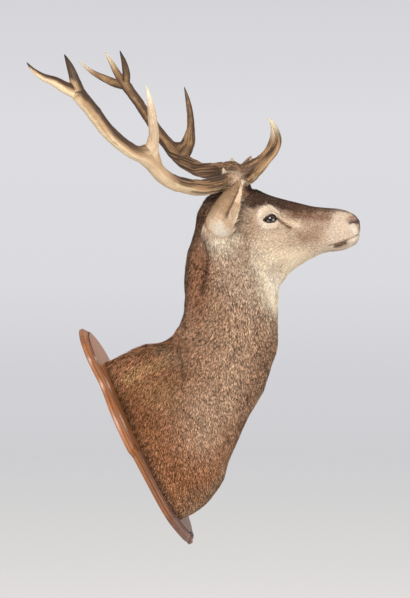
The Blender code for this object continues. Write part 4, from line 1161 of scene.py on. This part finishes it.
def dress_antler(places, normals, swept, side):
    """Furrows are noise of (r cos a, r sin a, run / 24); pearls near the base; then a stained base,
    worn tips and painted shade: the far antler in shaded tones, the near one dark where it faces
    up and forward and painted pale under that.
    """
    (centre, first, second, radius, run), end, kind = nearest_on(places, swept)
    base_centres, base_end = swept["base"][1], swept["base"][-1][-1]
    away = places - centre
    a = np.arctan2(np.sum(away * second, axis=1), np.sum(away * first, axis=1))
    whole = 1 - (kind == 1) * smooth(run, end - 0.040, end - 0.012)
    whole = np.where(kind > 1, smooth(run, 0.018, 0.055), whole)
    run_on = (run + (kind == 1) * base_end) / 24 + np.maximum(kind - 1, 0) * 0.7
    wrapped = np.stack([radius * np.cos(a), radius * np.sin(a), run_on], axis=1)
    furrow = (noise(wrapped, 0.0036, 71) - 0.5) * whole
    lined = (1 - 0.85 * smooth(np.linalg.norm(places - base_centres[0], axis=1), 0.20, 0.48)) * whole
    streak = noise(wrapped, 0.0027, 77)
    burr_place = base_centres[max(1, int(len(base_centres) * 0.10))]
    from_burr = np.linalg.norm(places - burr_place, axis=1)
    stub = kind == list(swept).index("stub")
    to_tip = np.where(kind > 1, end - run + 0.024 * stub, 1.0)
    tip_wear = 1 - smooth(to_tip, 0.015, 0.075)
    rough = 1 - 0.85 * tip_wear
    pearl = np.maximum(noise(places, 0.0055, 79) - 0.52, 0) * 2
    pearly = 1 - smooth(from_burr, 0.055, 0.16)
    coarse = noise(places, 0.013, 81) - 0.5
    thick = smooth(radius, 0.004, 0.018)
    move = rough * ((0.0010 + 0.0022 * lined) * furrow * (0.35 + 0.65 * thick) + 0.0026 * pearl * pearly
                    + 0.0016 * coarse * thick + 0.0020 * lined * (streak - 0.5) * thick)
    grown = smooth(run, 0.026, 0.062)
    far = side > 0
    part_of = {name: (kind == number) * grown for number, name in enumerate(swept)}
    patchy = 0.45 * (noise(wrapped, 0.0075, 87) - 0.5) * whole + 0.16 * (noise(places, 0.010, 97) - 0.5)
    # The far antler is painted as a shaded copy of the near one: darker tones, with painted shade where its
    # surface faces up, forward or back rather than sideways.
    if far:
        facing = np.abs(normals[:, 0]) + 1.4 * patchy
        facing = facing + 0.3 * (part_of["crown_middle"] + part_of["crown_rear"])
        shaded = 0.92 * (1 - smooth(facing, 0.55, 1.1)) + 0.7 * part_of["crown_front"]
        black_tip = part_of["trez"] + part_of["crown_front"]
        layers = ("far_brown_shaded", noise(places, 0.02, 83)), ("far_painted_shade", np.clip(shaded, 0, 0.92))
    else:
        # Painted shade on the near antler's side that faces up and forward, painted light on the side under
        # it; by the trez's fork the shade gives way to tan on the side facing the camera.
        upper = normals @ unit(np.array([0.12, -0.60, 0.80])) + patchy
        upper = upper - 0.7 * part_of["trez"] + 0.9 * part_of["crown_front"]
        upper = upper + 0.42 * part_of["brow"] * rough + 0.26 * (kind <= 1) * smooth(from_burr, 0.22, 0.46)
        from_fork = np.linalg.norm(places - swept["trez"][1][0], axis=1)
        fork = 0.92 * np.exp(-(from_fork / 0.072) ** 4) * smooth(-normals[:, 0], -0.30, 0.30)
        lined = lined * (1 - fork)
        black_tip = part_of["crown_rear"] + part_of["crown_front"]
        layers = (("bone_brown", noise(places, 0.03, 83)),
                  ("bone_painted_light", (0.8 - 0.5 * part_of["trez"]) * smooth(-upper, 0.10, 0.60)),
                  ("trez_grey", 0.60 * part_of["trez"]), ("fork_tan", 0.6 * fork),
                  ("bone_painted_half_shade", 0.75 * smooth(upper, -0.40, 0.08) * (1 - 0.6 * fork)),
                  ("bone_painted_shade", 0.94 * smooth(upper, -0.06, 0.34) * (1 - fork)))
    # The far antler takes the shaded tones, and painted shade darkens its base more than the near one's.
    bone, pearls, stain_and_shade, wear = (("far_bone_shaded", "far_pearl_shaded", 0.65, 0.55) if far else
                                 ("bone", "pearl", 0.45, 0.6))
    colour = paint(
        TONES[bone], places, *layers, ("base_stain_and_shade", stain_and_shade * (1 - smooth(from_burr, 0.10, 0.30))),
        ("furrow", 0.60 * lined * smooth(0.47 - streak, 0.0, 0.12) * rough),
        ("ridge", 0.34 * lined * smooth(streak - 0.53, 0.0, 0.12) * rough),
        (pearls, 0.80 * (1 - smooth(from_burr, 0.030, 0.062))),
        ("pit", 0.6 * smooth(0.5 - noise(places, 0.004, 89), 0.0, 0.25) * pearly),
        ("ivory", wear * tip_wear * (1 - np.clip(black_tip, 0, 1))),
        ("black_tip", 0.9 * (1 - smooth(to_tip, 0.006, 0.030)) * black_tip))
    return places + normals * move[:, None], np.clip(colour, 0, 1)


antlers = {"right": one_antler("right", -1, RIGHT_ANTLER), "left": one_antler("left", 1, LEFT_ANTLER)}

# %% Hair up the pedicles
PEDICLE = 4500   # tufts on one pedicle


def lay_pedicle(label, side, lengths, seed):
    """Roots on the tube round an antler's first two centimetres; the lie runs up it to the burr."""
    rng = np.random.default_rng(seed)
    low, high = (unfold(lengths["base"][row][:3], side) for row in (0, 2))
    run, angle = rng.random(PEDICLE) * 1.02 - 0.12, rng.random(PEDICLE) * 2 * math.pi
    way = unit(high - low)
    first = unit(np.cross(way, (0.2, 0.4, 0.9)))
    outward = first * np.cos(angle)[:, None] + np.cross(way, first) * np.sin(angle)[:, None]
    root = low + (high - low) * run[:, None] * 0.72 + outward * (0.0228 + 0.0004 * run)[:, None]
    length = (0.0105 - 0.0030 * run) * np.exp(rng.normal(0, 0.15, PEDICLE))
    tufts = blades(root, outward, way + 0.25 * rng.normal(0, 1, (PEDICLE, 3)), length,
                   0.0013 + 0.0008 * rng.random(PEDICLE), 0.0028 + 0.0022 * rng.random(PEDICLE), rng)
    facing = outward[:, 0] * side + 0.5 * outward[:, 1]
    colour = blend(TONES["crown"], tone(150, 118, 90), 0.8 * smooth(facing, 0.1, 0.8))
    uvs = np.stack([angle / (2 * math.pi), run * 0.8 + 0.15], axis=1)
    return coat_piece("coat_pedicle_" + label, tufts, shade_tufts(colour, root, rng, 0.8), uvs, HAIR)


coat += [lay_pedicle("right", -1, RIGHT_ANTLER, 151), lay_pedicle("left", 1, LEFT_ANTLER, 157)]

# %% [markdown]
# ## The shield
# The plaque is turned and routed from one board: a straight edge, a small step, an ogee, a
# round bead, a groove, and the flat face. Its outline is half a curve of bends and straight
# runs, mirrored. The moulding is that outline stepped inwards along its mitres, one ring for
# each place on the profile.

# %% Outline and moulding
SHIELD_TOP = np.array([0.0, 0.356])
SHIELD_EDGE = (((68, 347), (103, 288)), ((120, 262), (116, 215)), ((118, 178), (152, 140)),
               ((184, 100), (194, 45)), ((200, 10),), ((200, -6),), ((174, -28),), ((166, -155),),
               ((160, -228), (118, -264)), ((90, -292), (58, -316)), ((40, -328), (28, -329)),
               ((22, -343), (0, -344)))   # in millimetres: the pull of a bend and its end, or an end alone


def shield_outline(steps=14):
    """A bend is (1 - t)^2 start + 2 t (1 - t) pull + t^2 end, a straight run its end; then the mirror."""
    half = [SHIELD_TOP]
    for places in SHIELD_EDGE:
        start, pull, end = half[-1], np.array(places[0]) / 1000, np.array(places[-1]) / 1000
        for t in np.linspace(0.0, 1.0, steps + 1)[1:] if len(places) > 1 else (1.0,):
            half.append((1 - t) ** 2 * start + 2 * t * (1 - t) * pull + t**2 * end)
    return np.array(half + [point * (-1, 1) for point in reversed(half[1:-1])])


def step_in(outline, distance):
    """Each corner moved by (n1 + n2) / (1 + n1 . n2) * distance, with its edges' inward normals."""
    edge = unit(np.roll(outline, -1, axis=0) - outline)
    after = np.stack([edge[:, 1], -edge[:, 0]], axis=1)
    before = np.roll(after, 1, axis=0)
    lean = 1 + np.sum(before * after, axis=1, keepdims=True)
    return outline + (before + after) / np.maximum(lean, 0.6) * distance


ogee = np.linspace(0.0, 1.0, 12)
bead = np.radians(np.linspace(195, -15, 12))
PROFILE = np.vstack([
    [(0.0, 0.0), (0.0, 0.0086), (0.0004, 0.0094), (0.0012, 0.0099), (0.0032, 0.0101), (0.0034, 0.0110)],
    np.stack([0.0038 + 0.0096 * ogee, 0.0112 + 0.0074 * ogee**2 * (3 - 2 * ogee)], axis=1),
    np.stack([0.0158 + 0.0019 * np.cos(bead), 0.0190 + 0.0019 * np.sin(bead)], axis=1),
    [(0.0182, 0.0180), (0.0190, 0.0178), (0.0198, 0.0182), (0.0203, 0.0206), (0.0208, 0.0222),
     (0.0216, 0.0228), (0.0228, 0.0229)]])
outline = shield_outline()
rings = np.array([np.insert(step_in(outline, inwards), 1, -out, axis=1) for inwards, out in PROFILE])
points, quads, fans = closed_tube(rings)
shield = array_mesh("shield", points, quads, fans)
corner = points[quads]
mesh_normals = np.cross(corner[:, 1] - corner[:, 0], corner[:, 3] - corner[:, 0])
middle = corner.mean(axis=1)
low_edge = middle[:, 1] > -0.008
if np.sum(mesh_normals[low_edge] * (middle[low_edge] - (0, -0.004, 0))) < 0:
    shield.data.flip_normals()
shield.data.set_sharp_from_angle(angle=math.radians(34))
row_shade = np.ones(len(PROFILE))
# Painted shade darkens the groove, the small step and the foot of the bead.
for low, high, shade in ((0.0172, 0.0212, 0.20), (0.0030, 0.0039, 0.55), (0.0125, 0.0142, 0.62)):
    row_shade[(PROFILE[:, 0] > low) & (PROFILE[:, 0] < high)] = shade
varnish = tone(140, 84, 42)
shades = np.repeat(row_shade, rings.shape[1])[:, None] * varnish
# Painted shade: darker towards the foot, and less green and blue there to offset the grey of its reflection.
shades *= (0.52 + 0.48 * smooth(points[:-2, 2], -0.34, -0.02))[:, None]
shades *= 1 - (1 - smooth(points[:-2, 2], -0.34, -0.10))[:, None] * np.array([0.0, 0.20, 0.45])
colour_points(shield.data, np.vstack([shades, varnish * 0.5, varnish]))
print("shield", np.round(np.ptp(points, axis=0) * 1000), "mm,", len(quads) * 2 + len(fans), "triangles")

# %% Varnished wood
wood, tree, shader = new_finish("varnished_wood")
set_constants(shader, Roughness=0.45, Coat_Weight=0.55, Coat_Roughness=0.27)
place, marks = add_node(tree, "TexCoord"), add_node(tree, "Attribute", attribute_name="markings")
along_grain = add_node(tree, "Mapping", {"Scale": (1.0, 1.0, 0.055)})
broad = add_node(tree, "Group", {"Scale": 60.0, "Strength": 1.8}, node_tree=speckle)
fine = add_node(tree, "Group", {"Scale": 420.0, "Strength": 0.7}, node_tree=speckle)
grain_bump = add_node(tree, "Bump", {"Strength": 0.06, "Distance": 0.0006})
wire(tree, (place, "Object", along_grain, "Vector"), (along_grain, "Vector", broad, "Vector"),
     (along_grain, "Vector", fine, "Vector"), (marks, "Color", broad, "Colour"),
     (broad, "Colour", fine, "Colour"), (fine, "Colour", shader, "Base Color"),
     (fine, "Height", grain_bump, "Height"), (grain_bump, "Normal", shader, "Normal"))
shield.data.materials.append(wood)

# %% [markdown]
# ## What each piece stands for
# Every piece rides on the one body. The hide takes the place of all the nodes of flesh, so no
# seam shows; the other pieces each take the place of their own solids.

# %% Rides, and the solids each piece stands for
STANDS_FOR = {
    skin: ("coat", ["head", "jaw", "neck_upper", "neck_lower", "trunk"]),
    shield: ("varnished_wood", ["board"]),
    EARS["right"][0]: ("ear", ["ear_right"]), EARS["left"][0]: ("ear", ["ear_left"]),
    eyes["right"]: ("eye", ["eye_right"]), eyes["left"]: ("eye", ["eye_left"]),
    antlers["right"]: ("antler", ["antler_right_" + name for name in RIGHT_ANTLER]),
    antlers["left"]: ("antler", ["antler_left_" + name for name in LEFT_ANTLER]),
}
for piece, (slot_name, replaced) in STANDS_FOR.items():
    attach(piece, "root")
    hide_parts(*replaced)
for piece in coat:
    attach(piece, "root")

# %% [markdown]
# ## The studio
# A mount is hung well above the floor. The floor is a wide pale disc far below it, the air
# round it is a pale grey that is a little darker where floor and wall would meet, and six
# large soft lights stand round it: three before it on the camera's side, and three beyond and
# beside it that rim the outline. The camera is turned about its own axis by 27 degrees, so
# that the mount leans in the view.

# %% Camera
AIM = np.array([0.0, -0.366, 0.2712])
VIEW_UP = np.array([0.0, -0.457, 0.889])
DISTANCE = 5.0
back = unit((-1.0, 0.0, 0.0) + (VIEW_RIGHT + VIEW_UP) * math.tan(math.radians(4.5)))
upright = unit(VIEW_UP - back * (VIEW_UP @ back))
across = np.cross(upright, back)
camera = new_object("camera", bpy.data.cameras.new("camera"))
bpy.context.scene.camera = camera
camera.data.lens = 104.88
camera.data.sensor_width = 36.0
placed = np.eye(4)
placed[:3] = np.stack([across, upright, back, AIM + back * DISTANCE], axis=1)
camera.matrix_world = Matrix(placed.tolist())


# %% Lights
def soft_light(name, over, up, out, size, power, tint=(1.0, 1.0, 1.0)):
    """A square light placed by the camera's own ways from the aim, facing the aim."""
    lamp = bpy.data.lights.new(name, "AREA")
    lamp.size, lamp.energy, lamp.color = size, power, tint
    light = new_object(name, lamp)
    light.location = Vector(AIM + across * over + upright * up + back * out)
    light.rotation_euler = (Vector(AIM) - light.location).to_track_quat("-Z", "Y").to_euler()
    return light


soft_light("key", -0.6, 1.9, 3.4, 1.4, 128.0, (1.0, 0.99, 0.97))
for name, over, up, out, size, power, glossy in (
        ("fill", 2.8, -0.2, 2.6, 2.0, 66.0, True), ("low", -2.2, -1.2, 2.4, 2.0, 34.0, True),
        ("rim", 0.6, 2.2, -1.8, 2.0, 40.0, False), ("far_side", 0.4, 0.8, -3.4, 2.4, 60.0, False),
        ("front", 2.4, 0.9, -0.7, 1.6, 22.0, False)):
    soft_light(name, over, up, out, size, power).visible_glossy = glossy

AIR = (   # height in the view from 0 to 1, and the grey there
    (0.16, 225, 222, 221), (0.25, 213, 212, 211), (0.32, 206, 206, 209), (0.42, 210, 210, 214),
    (0.52, 219, 219, 223), (0.70, 221, 221, 225), (0.84, 213, 212, 216))
world = bpy.data.worlds.new("air")
bpy.context.scene.world = world
world.use_nodes = True
tree = world.node_tree
air, way = tree.nodes["Background"], add_node(tree, "TexCoord")
height_in_air = add_node(tree, "VectorMath", {1: tuple(upright)}, operation="DOT_PRODUCT")
shift = add_node(tree, "Math", {1: 2.0, 2: 0.5}, operation="MULTIPLY_ADD")
shade = add_node(tree, "ValToRGB")
marks = shade.color_ramp.elements
for mark, (position, *grey) in zip(marks, (AIR[0], AIR[-1])):
    mark.position, mark.color = position, (*tone(*grey), 1)
for position, *grey in AIR[1:-1]:
    marks.new(position).color = (*tone(*grey), 1)
glow = add_node(tree, "Background", {"Color": (1.0, 1.0, 1.0, 1.0), "Strength": 0.50})
seen, choice = add_node(tree, "LightPath"), add_node(tree, "MixShader")
wire(tree, (way, "Generated", height_in_air, 0), (height_in_air, "Value", shift, 0),
     (shift, 0, shade, "Fac"), (shade, "Color", air, "Color"), (seen, "Is Camera Ray", choice, "Fac"),
     (glow, "Background", choice, 1), (air, "Background", choice, 2),
     (choice, "Shader", tree.nodes["World Output"], "Surface"))
bpy.context.scene.view_settings.view_transform = "Standard"

# %% The floor
FLOOR_HEIGHT, FLOOR_SIDES = -1.62, 96
around, reach = circle(FLOOR_SIDES), np.array([0.4, 1.6, 3.0])[:, None]
flat = np.full((3, FLOOR_SIDES), FLOOR_HEIGHT)
disc = np.stack([reach * np.cos(around), reach * np.sin(around), flat], axis=-1)
here = np.arange(FLOOR_SIDES)
middle_fan = np.stack([np.full(FLOOR_SIDES, 3 * FLOOR_SIDES), here, (here + 1) % FLOOR_SIDES], axis=1)
floor = array_mesh("floor", np.vstack([disc.reshape(-1, 3), [(0, 0, FLOOR_HEIGHT)]]),
                   tube_faces(3, FLOOR_SIDES)[:, ::-1], middle_fan)
pale, _, shader = new_finish("pale_floor")
set_constants(shader, Base_Color=(*tone(204, 204, 207), 1), Roughness=0.9)
floor.data.materials.append(pale)
